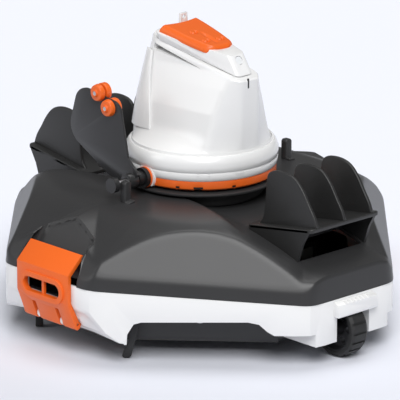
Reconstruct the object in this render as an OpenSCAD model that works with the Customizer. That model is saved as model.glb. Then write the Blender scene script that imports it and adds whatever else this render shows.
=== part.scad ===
// Cordless pool cleaner: a jet-driven robot that rolls along a pool floor on two end wheels.
// Millimetres, +Z up, X is the driving direction, origin on the floor under the hull's centre.

/* [Hull] */
// Overall length of the hull along the driving direction
body_length = 415; // [400:1:430]
// Overall width of the hull across the driving direction
body_width = 389; // [375:1:400]
// Length of each flat end face
end_flat = 108; // [100:1:114]
// Length of each flat side face
side_flat = 116; // [112:1:122]
// Height of the parting line along the side faces
side_part_z = 73; // [71:0.5:76]
// Height of the parting line along the end faces
end_part_z = 62; // [60:0.5:64]
// Height of the lower edge of the hull
hull_low_z = 22; // [20:0.5:24]
// Wall thickness of the hull and the cover
wall = 3; // [2.5:0.25:3.5]

/* [Cover] */
// Height of the top of the cover beside the turret
dome_z = 130; // [127:0.5:133]
// Fall of the dome at the hull's side corners
dome_drop = 25; // [22:0.5:28]
// Height of the upright band under the sloped corner facets
facet_h = 15; // [13:0.5:17]
// Slope of the corner facets in degrees
facet_angle = 62; // [59:0.5:64]
// Slope of the cover towards the side faces in degrees
side_angle = 28; // [26:0.5:30]
// Slope of the cover towards the end faces in degrees
end_angle = 31; // [29.5:0.5:32]
// Width of the finger pocket above each latch
pocket_w = 84; // [80:1:90]

/* [Fin decks] */
// Length of a fin deck, seen from above
deck_l = 85; // [81:1:89]
// Distance from a fin deck's outer end to the end of the body
deck_gap = 10.5; // [8.5:0.5:13.5]
// Width of a fin deck
deck_w = 90; // [84:1:94]
// Height of the deck's top face at its outer edge
deck_out_z = 131; // [129:0.5:134]
// Rise of the deck towards its outer edge in degrees
deck_angle = 8.5; // [7:0.5:9.5]
// Spacing of the three fins
fin_pitch = 35.5; // [32:0.5:38]
// Thickness of a fin
fin_t = 3.6; // [3:0.2:5]
// Height of the fins above the floor
fin_top_z = 175; // [168:1:180]

/* [Turret] */
// Distance of the turret's axis in front of the hull's centre
turret_x = 4; // [0:0.5:6]
// Height of the lower edge of the turret's ring
ring_z = 138.5; // [137:0.5:140]
// Height of the turret's ring
ring_h = 8.5; // [8:0.5:9]
// Outer radius of the turret's ring
ring_r = 71; // [69:0.5:73]
// Height of the white skirt over the ring
skirt_h = 11; // [10:0.5:12]
// Height at which the crown cover meets the turret shell, on the axis
crown_z = 256.5; // [254:0.5:258]
// Slope of the crown joint in degrees
crown_angle = 13.5; // [12.5:0.5:14.5]
// Height of the cap's seat on the axis
cap_z = 265; // [263:0.5:267]
// Slope of the cap in degrees
cap_angle = 11.5; // [10.5:0.5:12.5]
// Outer radius of the spindle that the turret turns on
spindle_r = 36; // [34:0.5:38]
// Radial running clearance of the spindle and of the wheels
run_gap = 0.08; // [0.05:0.01:0.1]

/* [Paddle] */
// Distance of the paddle's plane from the turret's axis
paddle_y = 90; // [88:0.5:92]
// Thickness of the paddle
paddle_t = 2.4; // [2:0.2:3]
// Height of the paddle's hinge pin
paddle_z = 146; // [145.5:0.25:146.5]
// Radius of the paddle's hinge pin
paddle_pin_r = 3; // [2.5:0.25:3.5]
// Radius of the orange floats
float_r = 8.4; // [7.5:0.1:9]

/* [Wheels] */
// Radius of the end wheels over the tyre
wheel_r = 27; // [26:0.25:28]
// Width of the tyre
wheel_w = 20; // [18:0.5:22]
// Distance from a wheel's axle to the end of the body
wheel_in = 16.5; // [14.5:0.5:17.5]
// Radius of the wheel axles
axle_r = 3; // [2.5:0.25:3.5]

/* [Latches] */
// Width of a side latch
latch_w = 71; // [66:1:74]
// Thickness of a side latch
latch_t = 4; // [3.5:0.25:4.5]
// Height of the latch's hinge pin
latch_pin_z = 33; // [32.5:0.25:34]
// Radius of the latch's hinge pin
latch_pin_r = 1.5; // [1.25:0.25:1.75]

/* [Drive unit] */
// Radius of the pump motor
motor_r = 21; // [19:0.5:23]
// Radius of the impeller
impeller_r = 28; // [26:0.5:30]
// Radius of the motor shaft
shaft_r = 2.5; // [2:0.25:3]
// Diameter of one battery cell
cell_d = 18.4; // [18:0.1:18.6]
// Length of one battery cell
cell_l = 65; // [64:0.5:66]

/* [Hidden] */
$fn = 64;

seat_gap = 0.3;
half_l = body_length / 2;
half_w = body_width / 2;
deck_out_x = half_l - deck_gap;
deck_in_x = deck_out_x - deck_l;
wheel_x = half_l - wheel_in;
end_h = end_flat / 2;
side_h = side_flat / 2;
corner_power = 70;
plan_a1 = atan2(end_h, half_l);
plan_a2 = atan2(half_w, side_h);

// Unit normal, length and distance of the long corner face between a side and an end face.
corner_len = norm([half_l - side_h, half_w - end_h]);
corner_n = [(half_w - end_h) / corner_len, (half_l - side_h) / corner_len];
corner_d = corner_n[0] * side_h + corner_n[1] * half_w;
corner_a = atan2(corner_n[1], corner_n[0]);
face_angles = [0, corner_a, 90, 180 - corner_a, 180, 180 + corner_a, 270, 360 - corner_a];
face_dists = [half_l, corner_d, half_w, corner_d, half_l, corner_d, half_w, corner_d];

white = "white";
dark = "#3b3c3e";
black = "#1d1e20";
orange = "#f26522";
smoke = "#4a4b4e";
steel = "silver";

function total(v, i = 0) = i < len(v) ? v[i] + total(v, i + 1) : 0;

// Distance from the axis to the rounded eight-sided plan, set in by t, in direction a.
function plan_r(a, t = 0) = pow(total([
    for (i = [0:7]) pow(max(0, cos(a - face_angles[i])) / (face_dists[i] - t), corner_power)
]), -1 / corner_power);

function part_z(x) = side_part_z - (side_part_z - end_part_z)
    * max(0, abs(x) - side_h) / (half_l - side_h);

function soft_min(a, b, k = 5) = min(a, b) - pow(max(k - abs(a - b), 0), 2) / (4 * k);

function dome(x, y) = dome_z - dome_drop * pow(max(0, norm([x, y]) - ring_r) / 130, 5);
function facet(x, y) = part_z(x) + facet_h
    + (corner_d - 3 - corner_n[0] * abs(x) - corner_n[1] * abs(y)) * tan(facet_angle);
function side_slope(y) = side_part_z + 8.5 + (half_w - abs(y)) * tan(side_angle);
// The end slopes sink into a valley under the fin decks.
function end_slope(x, y) = end_part_z + 10 + (half_l - 3.5 - abs(x)) * tan(end_angle)
    - 0.0019 * pow(half_l - 3.5 - abs(x), 2) * max(0, 1 - pow(y / (0.85 * deck_w), 4));

// Height of the cover's outer surface.
function cover_top(x, y) = soft_min(
    soft_min(dome(x, y), facet(x, y), 6), soft_min(side_slope(y), end_slope(x, y), 6), 6);

// Directions from b to c in n steps that crowd towards both ends.
function crowded(b, c, n) = [for (i = [0:n - 1]) b + (c - b) * (0.5 - 0.5 * cos(180 * i / n))];

// Directions round the plan, crowded at its corners: n steps on a short face, m on a long one.
function plan_angles(n, m) = [
    for (h = [0, 180]) each concat(
        crowded(h - plan_a1, h + plan_a1, n), crowded(h + plan_a1, h + plan_a2, m),
        crowded(h + plan_a2, h + 180 - plan_a2, n),
        crowded(h + 180 - plan_a2, h + 180 - plan_a1, m)
    )
];

module plan(t, h, z = 0) {
    translate([0, 0, z])
        linear_extrude(h)
            polygon([for (a = plan_angles(4, 6)) plan_r(a, t) * [cos(a), sin(a)]]);
}

module both_ends() {
    children();
    rotate(180) children();
}

module four_corners() {
    for (mx = [0, 1], my = [0, 1])
        mirror([mx, 0, 0]) mirror([0, my, 0]) children();
}

// Everything under the parting surface, lowered by drop.
module below_parting(drop = 0) {
    translate([0, half_w + 10, -drop])
        rotate([90, 0, 0])
            linear_extrude(2 * half_w + 20)
                polygon([
                    [-half_l - 9, -5], [half_l + 9, -5], [half_l + 9, part_z(half_l + 9)],
                    [side_h, side_part_z], [-side_h, side_part_z], [-half_l - 9, part_z(half_l + 9)]
                ]);
}

// Places children on the front left corner face: X runs along it, Y points inwards, Z stays up.
module on_corner_face() {
    translate([side_h, -half_w, 0])
        rotate(atan2(half_w - end_h, half_l - side_h)) children();
}

// ---------- Hull ----------

foot_tip = 33;
arch_end = 151;
arch_z = side_part_z - 29;
tuck_z = side_part_z - 17;
tuck_in = 11;
well_w = wheel_w + 22;
well_in_x = wheel_x - wheel_r - 6;
well_top_z = end_part_z - 6;
housing_w = well_w + 2 * wall + 46;
housing_low_z = hull_low_z - 1;

module hull_outline(t) {
    difference() {
        intersection() {
            plan(t, side_part_z, 0);
            below_parting();
        }
        translate([-half_l, -half_w - 10, -1]) cube([body_length, body_width + 20, hull_low_z + 1]);
        for (m = [0, 1]) mirror([0, m, 0]) {
            // The side faces tuck in towards the floor.
            translate([-half_l, 0, 0])
                rotate([90, 0, 90])
                    linear_extrude(body_length)
                        polygon([
                            [half_w - t, tuck_z], [half_w - t - tuck_in, hull_low_z + 11],
                            [half_w - t - 2 * tuck_in, hull_low_z - 1], [half_w + 20, hull_low_z - 1],
                            [half_w + 20, tuck_z]
                        ]);
        }
        // The lower edge rises under the side faces.
        translate([0, half_w + 10, 0])
            rotate([90, 0, 0])
                linear_extrude(2 * half_w + 20)
                    polygon([
                        [-side_h - 24, hull_low_z - 2], [-side_h - 24, hull_low_z + 1],
                        [-side_h + 8, hull_low_z + 6], [side_h - 8, hull_low_z + 6],
                        [side_h + 24, hull_low_z + 1], [side_h + 24, hull_low_z - 2]
                    ]);
    }
}

module corner_arch() {
    translate([0, 70, 0])
        rotate([90, 0, 0])
            linear_extrude(100)
                polygon([
                    [foot_tip + 2, hull_low_z - 5], [foot_tip + 3, arch_z - 12], [foot_tip + 9, arch_z - 2],
                    [foot_tip + 16, arch_z], [arch_end - 4, arch_z + 2], [arch_end + 6, arch_z],
                    [arch_end + 14, arch_z - 7], [arch_end + 20, arch_z - 10.5],
                    [corner_len + 40, arch_z - 10.5], [corner_len + 40, hull_low_z - 5]
                ]);
}

module wheel_housing(t, z0, z1) {
    translate([well_in_x - wall + t, -housing_w / 2 + t, z0])
        cube([half_l - well_in_x + wall - 2 * t, housing_w - 2 * t, z1 - z0]);
}

module wheel_well() {
    translate([well_in_x, -well_w / 2, -1])
        cube([half_l - well_in_x + 20, well_w, well_top_z + 1]);
}

latch_pin_y = half_w - 8;
latch_eye_r = latch_pin_r + 2.1;
lug_x = 16;
lug_t = 4;

module latch_lugs() {
    for (x = [-lug_x, lug_x])
        translate([x - lug_t / 2, 0, 0])
            rotate([90, 0, 90])
                linear_extrude(lug_t)
                    polygon([
                        [latch_pin_y - 8, latch_pin_z - 4], [latch_pin_y + 2, latch_pin_z - 3.4],
                        [latch_pin_y + 3.4, latch_pin_z - 1], [latch_pin_y + 3.4, latch_pin_z + 2],
                        [latch_pin_y + 1, latch_pin_z + 5], [latch_pin_y - 6, latch_pin_z + 9]
                    ]);
}

// Half-round trough behind the latch's foot, lining added by t.
module latch_trough(t) {
    translate([0, latch_pin_y, latch_pin_z])
        rotate([0, 90, 0])
            cylinder(r = latch_eye_r + 2.2 + t, h = latch_w + 2 + 2 * t, center = true);
}

module base_hull() {
    color(white)
    difference() {
        union() {
            difference() {
                union() {
                    hull_skin();
                    for (m = [0, 1]) mirror([0, m, 0])
                        intersection() {
                            latch_trough(wall);
                            hull_outline(0);
                        }
                }
                for (m = [0, 1]) mirror([0, m, 0]) latch_trough(0);
            }
            intersection() {
                both_ends() wheel_housing(0, housing_low_z, well_top_z + wall);
                plan(0, side_part_z);
            }
            for (m = [0, 1]) mirror([0, m, 0]) latch_lugs();
        }
        both_ends() {
            wheel_well();
            // The housing beside the well is an open shell.
            for (s = [-1, 1])
                translate([well_in_x, s > 0 ? well_w / 2 + wall : -housing_w / 2 + wall, housing_low_z - 1])
                    cube([half_l - well_in_x - wall, side_room, well_top_z - housing_low_z + 1]);
            translate([wheel_x, 0, wheel_r])
                rotate([90, 0, 0]) cylinder(r = axle_r, h = well_w + 2 * wall + 0.1, center = true);
        }
        for (m = [0, 1]) mirror([0, m, 0]) {
            translate([0, latch_pin_y, latch_pin_z])
                rotate([0, 90, 0]) cylinder(r = latch_pin_r, h = latch_w, center = true, $fn = 32);
            // Finger room behind the latch.
            translate([-grip_w / 2, half_w - wall - 1, grip_z])
                cube([grip_w, wall + 2, grip_h]);
        }
        bottom_screw_holes();
    }
}

side_room = (housing_w - well_w) / 2 - 2 * wall;

// The hull's outer walls with the inner ledge and the cut-outs under the corner faces.
module hull_skin() {
    difference() {
        hull_outline(0);
        difference() {
            plan(wall, side_part_z + 10, -2);
            // A ledge inside carries the bottom plate's rim.
            translate([0, 0, ledge_z])
                difference() {
                    plan(0, wall);
                    plan(ledge_w, wall + 2, -1);
                }
        }
        for (m = [0, 1]) mirror([0, m, 0])
            translate([-side_h + 2, 0, 0])
                rotate([90, 0, 90])
                    linear_extrude(2 * side_h - 4)
                        polygon([
                            [half_w - wall - tuck_in - 2, hull_low_z - 3],
                            [half_w - wall - tuck_in - 2, hull_low_z + 10],
                            [half_w - wall - 0.01, tuck_z], [0, tuck_z], [0, hull_low_z - 3]
                        ]);
        four_corners() on_corner_face() corner_arch();
    }
    for (m = [0, 1]) mirror([0, m, 0]) tuck_wall();
}

module bottom_screw_holes() {
    four_corners() on_corner_face()
        translate([corner_len / 2, screw_in, 0]) cylinder(r = screw_r, h = ledge_z + wall + 1, $fn = 32);
}

grip_w = 54;
grip_h = 17;
grip_z = side_part_z - 17;
ledge_z = arch_z + 4;
ledge_w = 12;

// The tucked-in lower part of a side wall.
module tuck_wall() {
    intersection() {
        hull_outline(0);
        translate([-side_h - foot_tip * corner_n[1], 0, 0])
            rotate([90, 0, 90])
                linear_extrude(2 * (side_h + foot_tip * corner_n[1]))
                    polygon([
                        [half_w, tuck_z + 1], [half_w - tuck_in, hull_low_z + 11],
                        [half_w - 2 * tuck_in, hull_low_z - 1], [half_w - 2 * tuck_in - wall - 1, hull_low_z - 1],
                        [half_w - tuck_in - wall - 0.4, hull_low_z + 11], [half_w - wall - 0.2, tuck_z + 1]
                    ]);
    }
}

// ---------- Bottom plate ----------

floor_z = 14;
floor_in = 34;
mouth_l = 130;
mouth_w = 24;
flap_t = 2;
flap_pin_r = 1.5;
flap_pin_z = floor_z + wall + flap_pin_r + 1.6 + seat_gap;

module bottom_plate() {
    color(dark)
    difference() {
        union() {
            difference() {
                union() {
                    plan(floor_in, ledge_z - floor_z - 6, floor_z + 6);
                    plan(floor_in + 5, 7, floor_z);
                    plan(wall + 0.5, wall, ledge_z - wall);
                }
                plan(floor_in + wall, side_part_z, floor_z + 9);
                plan(floor_in + 5 + wall, side_part_z, floor_z + wall);
                both_ends() wheel_housing(-0.5, 0, side_part_z);
                tuck_room();
            }
            // Side walls stand where the wheel housings cut into the plate.
            both_ends()
                translate([well_in_x - 2 * wall - 0.5, -housing_w / 2 - 1, floor_z])
                    cube([wall, housing_w + 2, ledge_z - floor_z]);
            // Lugs that carry the intake flap's pin.
            for (y = [-1, 1])
                translate([-mouth_w / 2 - 6, y * (mouth_l / 2 + 4) - 2, floor_z])
                    cube([8, 4, wall + 8]);
            // Channels that hold the squeegee strips.
            for (x = [-1, 1])
                translate([x * (mouth_w / 2 + 16) - 4, -mouth_l / 2, floor_z - 2])
                    cube([8, mouth_l, 3]);
        }
        translate([-mouth_w / 2, -mouth_l / 2, floor_z - 1])
            cube([mouth_w, mouth_l, wall + 2]);
        translate([-mouth_w / 2 - 2, 0, flap_pin_z])
            rotate([90, 0, 0]) cylinder(r = flap_pin_r, h = mouth_l + 20, center = true, $fn = 32);
        for (x = [-1, 1])
            translate([x * (mouth_w / 2 + 16) - squeegee_t / 2, -mouth_l / 2 - 1, floor_z - 3])
                cube([squeegee_t, mouth_l + 2, 3.5]);
        bottom_screw_holes();
    }
}

// Keeps the plate's rim clear of the tucked-in side walls and the latch lugs.
module tuck_room() {
    for (m = [0, 1]) mirror([0, m, 0])
        translate([-half_l, half_w - 26, 0]) cube([body_length, 40, side_part_z]);
}

// Screws through the plate's rim into the middle of each corner's ledge.
screw_r = 1.6;
screw_in = (wall + ledge_w) / 2;
squeegee_t = 3;

module bottom_screws() {
    color(steel)
    four_corners() on_corner_face()
        translate([corner_len / 2, screw_in, ledge_z - wall - 2]) {
            cylinder(r = screw_r, h = 2 + wall + wall, $fn = 32);
            cylinder(r = 2 * screw_r, h = 2, $fn = 32);
        }
}

module intake_flap() {
    color(orange)
    translate([-mouth_w / 2 - 2, 0, flap_pin_z])
        rotate([90, 0, 0])
            difference() {
                union() {
                    cylinder(r = flap_pin_r + 1.6, h = mouth_l + 2, center = true, $fn = 32);
                    translate([0, -flap_pin_r - 1.6, -mouth_l / 2 - 1])
                        cube([mouth_w + 5, flap_t, mouth_l + 2]);
                    for (z = [-1:1])
                        translate([0, -flap_pin_r - 1.6, z * mouth_l / 3 - 1])
                            cube([mouth_w, flap_t + 1.4, 2]);
                }
                cylinder(r = flap_pin_r + run_gap, h = mouth_l + 9, center = true, $fn = 32);
            }
}

module intake_flap_pin() {
    color(steel)
    translate([-mouth_w / 2 - 2, 0, flap_pin_z])
        rotate([90, 0, 0]) cylinder(r = flap_pin_r, h = mouth_l + 12, center = true, $fn = 32);
}

module floor_squeegees() {
    color(black)
    for (x = [-1, 1])
        translate([x * (mouth_w / 2 + 16) - squeegee_t / 2, -mouth_l / 2, 3])
            cube([squeegee_t, mouth_l, floor_z - 3 + 0.5]);
}

glide_w = 7;

// Rubber skids under the four feet.
module corner_glides() {
    color(black)
    four_corners() on_corner_face()
        translate([foot_tip + 2, floor_in - seat_gap, 0])
            rotate([90, 0, 0])
                linear_extrude(glide_w)
                    polygon([
                        [3, hull_low_z + 14], [-1, 13], [-5, 5], [-6, 1.5], [-4, 0], [0, 0], [2.5, 2],
                        [5, 12], [8, 21], [11, hull_low_z + 14]
                    ]);
}

// ---------- Filter ----------

filter_l = 190;
filter_w = 150;
filter_z = ledge_z + 1;
filter_h = 26;

module filter_frame() {
    color(smoke)
    difference() {
        translate([-filter_l / 2, -filter_w / 2, filter_z]) cube([filter_l, filter_w, filter_h]);
        translate([-filter_l / 2 + 5, -filter_w / 2 + 5, filter_z - 1])
            cube([filter_l - 10, filter_w - 10, filter_h - 3]);
        translate([turret_x, 0, filter_z]) cylinder(r = spindle_r, h = filter_h + 1);
        for (s = [-1, 1], i = [-3:3]) {
            translate([i * 25 - 9, s * filter_w / 2 - 6, filter_z + 5]) cube([18, 12, filter_h - 10]);
            if (abs(i) < 3)
                translate([s * filter_l / 2 - 6, i * 27 - 10, filter_z + 5]) cube([12, 20, filter_h - 10]);
        }
    }
    color(smoke)
    for (x = [-1, 1], y = [-1, 1])
        translate([x * (filter_l / 2 - 3), y * (filter_w / 2 - 3), floor_z + wall + seat_gap])
            cylinder(r = 3, h = filter_z + filter_h / 2 - floor_z - wall - seat_gap);
}

module filter_mesh() {
    color("lightgrey")
    difference() {
        translate([-filter_l / 2 + 5, -filter_w / 2 + 5, filter_z + 1])
            cube([filter_l - 10, filter_w - 10, filter_h - 6]);
        translate([-filter_l / 2 + 6, -filter_w / 2 + 6, filter_z])
            cube([filter_l - 12, filter_w - 12, filter_h]);
    }
}

module hull_seal() {
    color(black)
    translate([0, 0, ledge_z + wall + seat_gap])
        difference() {
            plan(wall + 3, 2.4);
            plan(wall + 8, 4, -1);
            both_ends() translate([well_in_x - 10, -housing_w / 2 - 1, -1]) cube([90, housing_w + 2, 5]);
        }
}

// ---------- Cover ----------

// The cover's inner edge, round the body's middle, ends inside the neck.
inner_r = spindle_r + 6 + turret_x;
cover_rows = [0, 0.04, 0.09, 0.14, 0.19, 0.25, 0.33, 0.45, 0.62, 0.8, 1];

function cover_point(a, k, t) =
    let (
        edge = plan_r(a, 2.2 + t),
        r = k < 2 ? plan_r(a, t + k * 1.1) : edge + (inner_r - edge) * cover_rows[k - 2],
        x = r * cos(a),
        y = r * sin(a),
        rim = cover_top(edge * cos(a), edge * sin(a))
    )
    [x, y, k == 0 ? part_z(x) + seat_gap : (k == 1 ? rim - 4 : cover_top(x, y)) - t * (k > 0 ? 1 : 0)];

module cover_shell() {
    angles = plan_angles(8, 16);
    n = len(angles);
    rows = len(cover_rows) + 2;
    m = 2 * rows;
    pts = [
        for (a = angles, k = [0:m - 1])
            k < rows ? cover_point(a, k, 0) : cover_point(a, m - 1 - k, wall)
    ];
    tris = [
        for (i = [0:n - 1], k = [0:m - 1])
            let (
                p = i * m + k,
                q = i * m + (k + 1) % m,
                u = ((i + 1) % n) * m + k,
                v = ((i + 1) % n) * m + (k + 1) % m
            )
                each [[p, q, u], [u, q, v]]
    ];
    polyhedron(points = pts, faces = tris, convexity = 6);
}

lip_r = ring_r + 3;
lip_top_z = ring_z - 2.7;
neck_r = ring_r - 10;
bush_r = spindle_r + run_gap + 3;
neck_low_z = dome_z - wall - 12;

module top_cover() {
    color(dark)
    difference() {
        union() {
            cover_shell();
            // Neck and lip that carry the turret.
            translate([turret_x, 0, 0])
                rotate_extrude($fn = 96)
                    polygon([
                        [bush_r, neck_low_z], [bush_r + 4, neck_low_z], [bush_r + 6, neck_low_z + 9],
                        [neck_r - 3, dome_z - wall - 8], [neck_r, dome_z - wall - 4],
                        [neck_r, lip_top_z - 6], [lip_r - 2, lip_top_z - 4], [lip_r, lip_top_z - 2.5],
                        [lip_r, lip_top_z - 1.2], [lip_r - 1.2, lip_top_z],
                        [neck_r, lip_top_z], [bush_r + 4, ring_z - seat_gap], [bush_r, ring_z - seat_gap]
                    ]);
            for (m = [0, 1]) mirror([0, m, 0])
                intersection() {
                    latch_pocket(wall);
                    cover_solid();
                }
        }
        for (m = [0, 1]) mirror([0, m, 0]) latch_pocket(0);
        both_ends() {
            deck_window();
            deck_screw_holes();
        }
    }
}

// Full body under the cover's outer surface near a side face.
module cover_solid() {
    rotate([90, 0, 90])
        translate([0, 0, -pocket_w / 2 - 10])
            linear_extrude(pocket_w + 20)
                polygon(concat(
                    [[half_w - 60, side_part_z + seat_gap], [half_w - 1.5, side_part_z + seat_gap]],
                    [for (i = [0:10]) let (y = half_w - 1.5 - i * 6) [y, side_slope(y) - 1.5]]
                ));
}

pocket_in = half_w - 17;

module latch_pocket(t) {
    translate([-pocket_w / 2 - t, pocket_in - t, side_part_z - 20])
        cube([pocket_w + 2 * t, 60, 60]);
    hull() {
        translate([-pocket_w / 2 - t, pocket_in - t, side_part_z + 13])
            cube([pocket_w + 2 * t, 60, 1]);
        translate([-pocket_w / 2 + 10 - t, pocket_in - 26 - t, dome_z - t])
            cube([pocket_w - 20 + 2 * t, 90, 20]);
    }
}

module deck_window() {
    for (i = [-1:1])
        translate([deck_in_x + 32, i * window_pitch - window_pitch / 2 + 2, end_part_z + 16])
            cube([26, window_pitch - 4, 60]);
}

module deck_screw_holes() {
    for (y = [-1, 1])
        translate([deck_screw_x, y * fin_pitch / 2, 0]) cylinder(r = 1.5, h = dome_z, $fn = 32);
}

window_pitch = deck_w * 0.29;

module turret_bearing() {
    color(black)
    translate([turret_x, 0, 0])
        difference() {
            translate([0, 0, dome_z - wall - 12]) cylinder(r = bush_r - 0.1, h = ring_z - dome_z + wall + 12 - seat_gap);
            translate([0, 0, dome_z - wall - 13]) cylinder(r = spindle_r + run_gap, h = ring_z);
        }
}

// ---------- Fin decks ----------

deck_len = (deck_out_x - deck_in_x) / cos(deck_angle);
deck_t = 4;

// Height of the deck's top face.
function deck_z(x) = deck_out_z - (deck_out_x - x) * tan(deck_angle);

module fin_profile() {
    polygon([
        [deck_in_x + 1, deck_z(deck_in_x) + 1], [deck_in_x + 13, deck_z(deck_in_x) + 5],
        [deck_in_x + 17, deck_z(deck_in_x) + 18],
        [deck_in_x + 17.5, fin_top_z - 19], [deck_in_x + 20, fin_top_z - 5], [deck_in_x + 23, fin_top_z - 2],
        [deck_in_x + 31, fin_top_z], [deck_in_x + 44, fin_top_z], [deck_in_x + 55, fin_top_z - 3],
        [deck_in_x + 63, fin_top_z - 10], [deck_in_x + 71, fin_top_z - 21.5],
        [deck_out_x - 5, fin_top_z - 31], [deck_out_x - 0.5, deck_out_z - 0.5],
        [deck_out_x - 2, deck_z(deck_out_x - 2) - 2], [deck_in_x + 1, deck_z(deck_in_x + 1) - 2]
    ]);
}

// Cheek between the deck's edge and the cover's surface.
module cheek_profile() {
    y = deck_w / 2 - wall / 2;
    polygon(concat(
        [[deck_out_x - 3, deck_z(deck_out_x - 3) - 1], [deck_in_x + 4, deck_z(deck_in_x + 4) - 1]],
        [for (i = [0:8])
            let (x = deck_in_x + 4 + i * (deck_out_x - deck_in_x - 22) / 8)
                [x, min(cover_top(x, y - wall / 2), cover_top(x, y + wall / 2)) + seat_gap + i * 0.05]],
        [[deck_out_x - 12, deck_out_z - 17]]
    ));
}

module fin_deck() {
    color(dark)
    difference() {
        union() {
            translate([deck_in_x, -deck_w / 2, deck_z(deck_in_x)])
                rotate([0, -deck_angle, 0])
                    translate([0, 0, -deck_t]) cube([deck_len, deck_w, deck_t]);
            for (i = [-1:1])
                translate([0, i * fin_pitch + fin_t / 2, 0])
                    rotate([90, 0, 0]) linear_extrude(fin_t) fin_profile();
            for (i = [-1, 1])
                translate([0, i * (deck_w / 2 - wall / 2) + wall / 2, 0])
                    rotate([90, 0, 0]) linear_extrude(wall) cheek_profile();
        }
        deck_screw_holes();
    }
}

module front_fin_deck() { fin_deck(); }
module rear_fin_deck() { rotate(180) fin_deck(); }

deck_screw_x = deck_in_x + 6;

module deck_screws() {
    head_z = deck_z(deck_screw_x + 3) + 0.05;
    color(steel)
    both_ends()
        for (y = [-1, 1])
            translate([deck_screw_x, y * fin_pitch / 2, 0]) {
                translate([0, 0, head_z - 8]) cylinder(r = 1.5, h = 8.5, $fn = 32);
                translate([0, 0, head_z]) cylinder(r = 3, h = 1.8, $fn = 32);
            }
}

post_x = turret_x + paddle_pin_r + 1.5;
post_y = 105;
post_w = 7;
post_t = 8;

module stop_posts() {
    low = [for (y = [post_y - post_t / 2, post_y + post_t / 2])
        max(cover_top(post_x, y), cover_top(post_x + post_w + 5, y)) + seat_gap];
    color(dark)
    for (m = [0, 1]) mirror([0, m, 0]) {
        translate([post_x, 0, 0])
            rotate([90, 0, 90])
                linear_extrude(post_w)
                    polygon([
                        [post_y - post_t / 2, low[0]], [post_y + post_t / 2, low[1]],
                        [post_y + post_t / 2, paddle_z + 2], [post_y + post_t / 2 - 1.5, paddle_z + 4],
                        [post_y - post_t / 2 + 1.5, paddle_z + 4], [post_y - post_t / 2, paddle_z + 2]
                    ]);
        translate([post_x, 0, 0])
            rotate([90, 0, 90])
                linear_extrude(post_w + 5)
                    polygon([
                        [post_y - post_t / 2, low[0]], [post_y + post_t / 2, low[1]],
                        [post_y + post_t / 2, low[1] + 4], [post_y - post_t / 2, low[0] + 3]
                    ]);
    }
}

// ---------- Turret ----------

skirt_z = ring_z + ring_h;
shell_z = skirt_z + skirt_h;
floor_t = 4;
spindle_low = dome_z - wall - 22;

base_r = ring_r - 5;

module turret_ring() {
    color(orange)
    translate([turret_x, 0, 0])
        difference() {
            rotate_extrude($fn = 96)
                polygon([
                    [base_r, ring_z], [ring_r - 1.5, ring_z], [ring_r, ring_z + 1.5],
                    [ring_r, skirt_z], [base_r, skirt_z]
                ]);
            for (a = ring_notches)
                rotate(a[0]) translate([ring_r, 0, ring_z - 0.1]) cylinder(r = a[1], h = 3.4, $fn = 32);
            translate([0, -ring_r, paddle_z]) rotate([90, 0, 0]) cylinder(r = boss_r, h = 30, center = true);
        }
}

// Direction and radius of the half-round notches under the ring.
ring_notches = [[-46, 4.5], [-62, 2], [-18, 2], [-106, 2], [46, 4.5], [120, 4.5]];
boss_r = 11.5;

module turret_skirt() {
    color(white)
    translate([turret_x, 0, 0])
        difference() {
            union() {
                rotate_extrude($fn = 96)
                    polygon([
                        [spindle_r - wall, spindle_low], [spindle_r, spindle_low], [spindle_r, ring_z],
                        [base_r, ring_z], [base_r, skirt_z], [ring_r - 1, skirt_z],
                        [ring_r + 0.6, skirt_z + 4], [ring_r + 1, shell_z], [ring_r + 1.3, shell_z + 3],
                        [ring_r - 1, shell_z + 8], [ring_r - 3.5, shell_z + 12], [ring_r - 4.2, shell_z + 15],
                        [base_r + 0.4, shell_z + 15], [base_r + 0.4, shell_z], [base_r, shell_z],
                        [base_r, skirt_z + floor_t], [0, skirt_z + floor_t], [0, skirt_z],
                        [base_r - wall, skirt_z], [base_r - wall, ring_z + wall],
                        [spindle_r - wall, ring_z + wall]
                    ]);
                // Housing of the paddle's bearing.
                translate([0, -base_r + 14, paddle_z])
                    rotate([90, 0, 0]) cylinder(r = boss_r, h = boss_out - base_r + 14);
            }
            translate([0, -base_r + 16, paddle_z])
                rotate([90, 0, 0]) cylinder(r = bearing_r, h = 30);
            translate([0, 0, ring_z - 30]) cylinder(r = ring_r + 30, h = 30);
            translate([0, 0, skirt_z - 1]) cylinder(r = shaft_r + run_gap, h = floor_t + 2);
            translate([jet_x, 0, skirt_z - 1]) cylinder(r = jet_r - 2, h = floor_t + 2);
            jet_bore(jet_r + 3 + seat_gap);
        }
    color(white)
    translate([turret_x, 0, 0])
        difference() {
            translate([0, 0, spindle_low]) cylinder(r = spindle_r, h = ring_z - spindle_low + 0.02);
            translate([0, 0, spindle_low - 1]) cylinder(r = spindle_r - wall, h = ring_z);
            translate([0, 0, spindle_low + 4])
                rotate_extrude() translate([spindle_r - 1.2, 0]) square([4, 2.2]);
        }
}

// Sections of the turret's shell: height over the skirt, then the corner circles at the rear
// and on the flank, each as distance along the turret, offset to the side and radius.
shell_sections = [
    [22, [-34, 20, 27], [44, 31, 10]],
    [50, [-33, 14, 27], [45, 23.5, 10]],
    [73, [-34, 11, 23], [50, 16, 8]],
    [88, [-34.5, 9.5, 20], [56, 10, 6]],
    [114, [-34.8, 7, 16], [38, 8, 6]]
];
shoulder_h = 14;
shoulder_r = 66;
// Corner circles of the front rib, and the height over the skirt that it reaches.
rib = [62, 9, 4];
rib_top = 88;
panel_t = 2.6;

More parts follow.
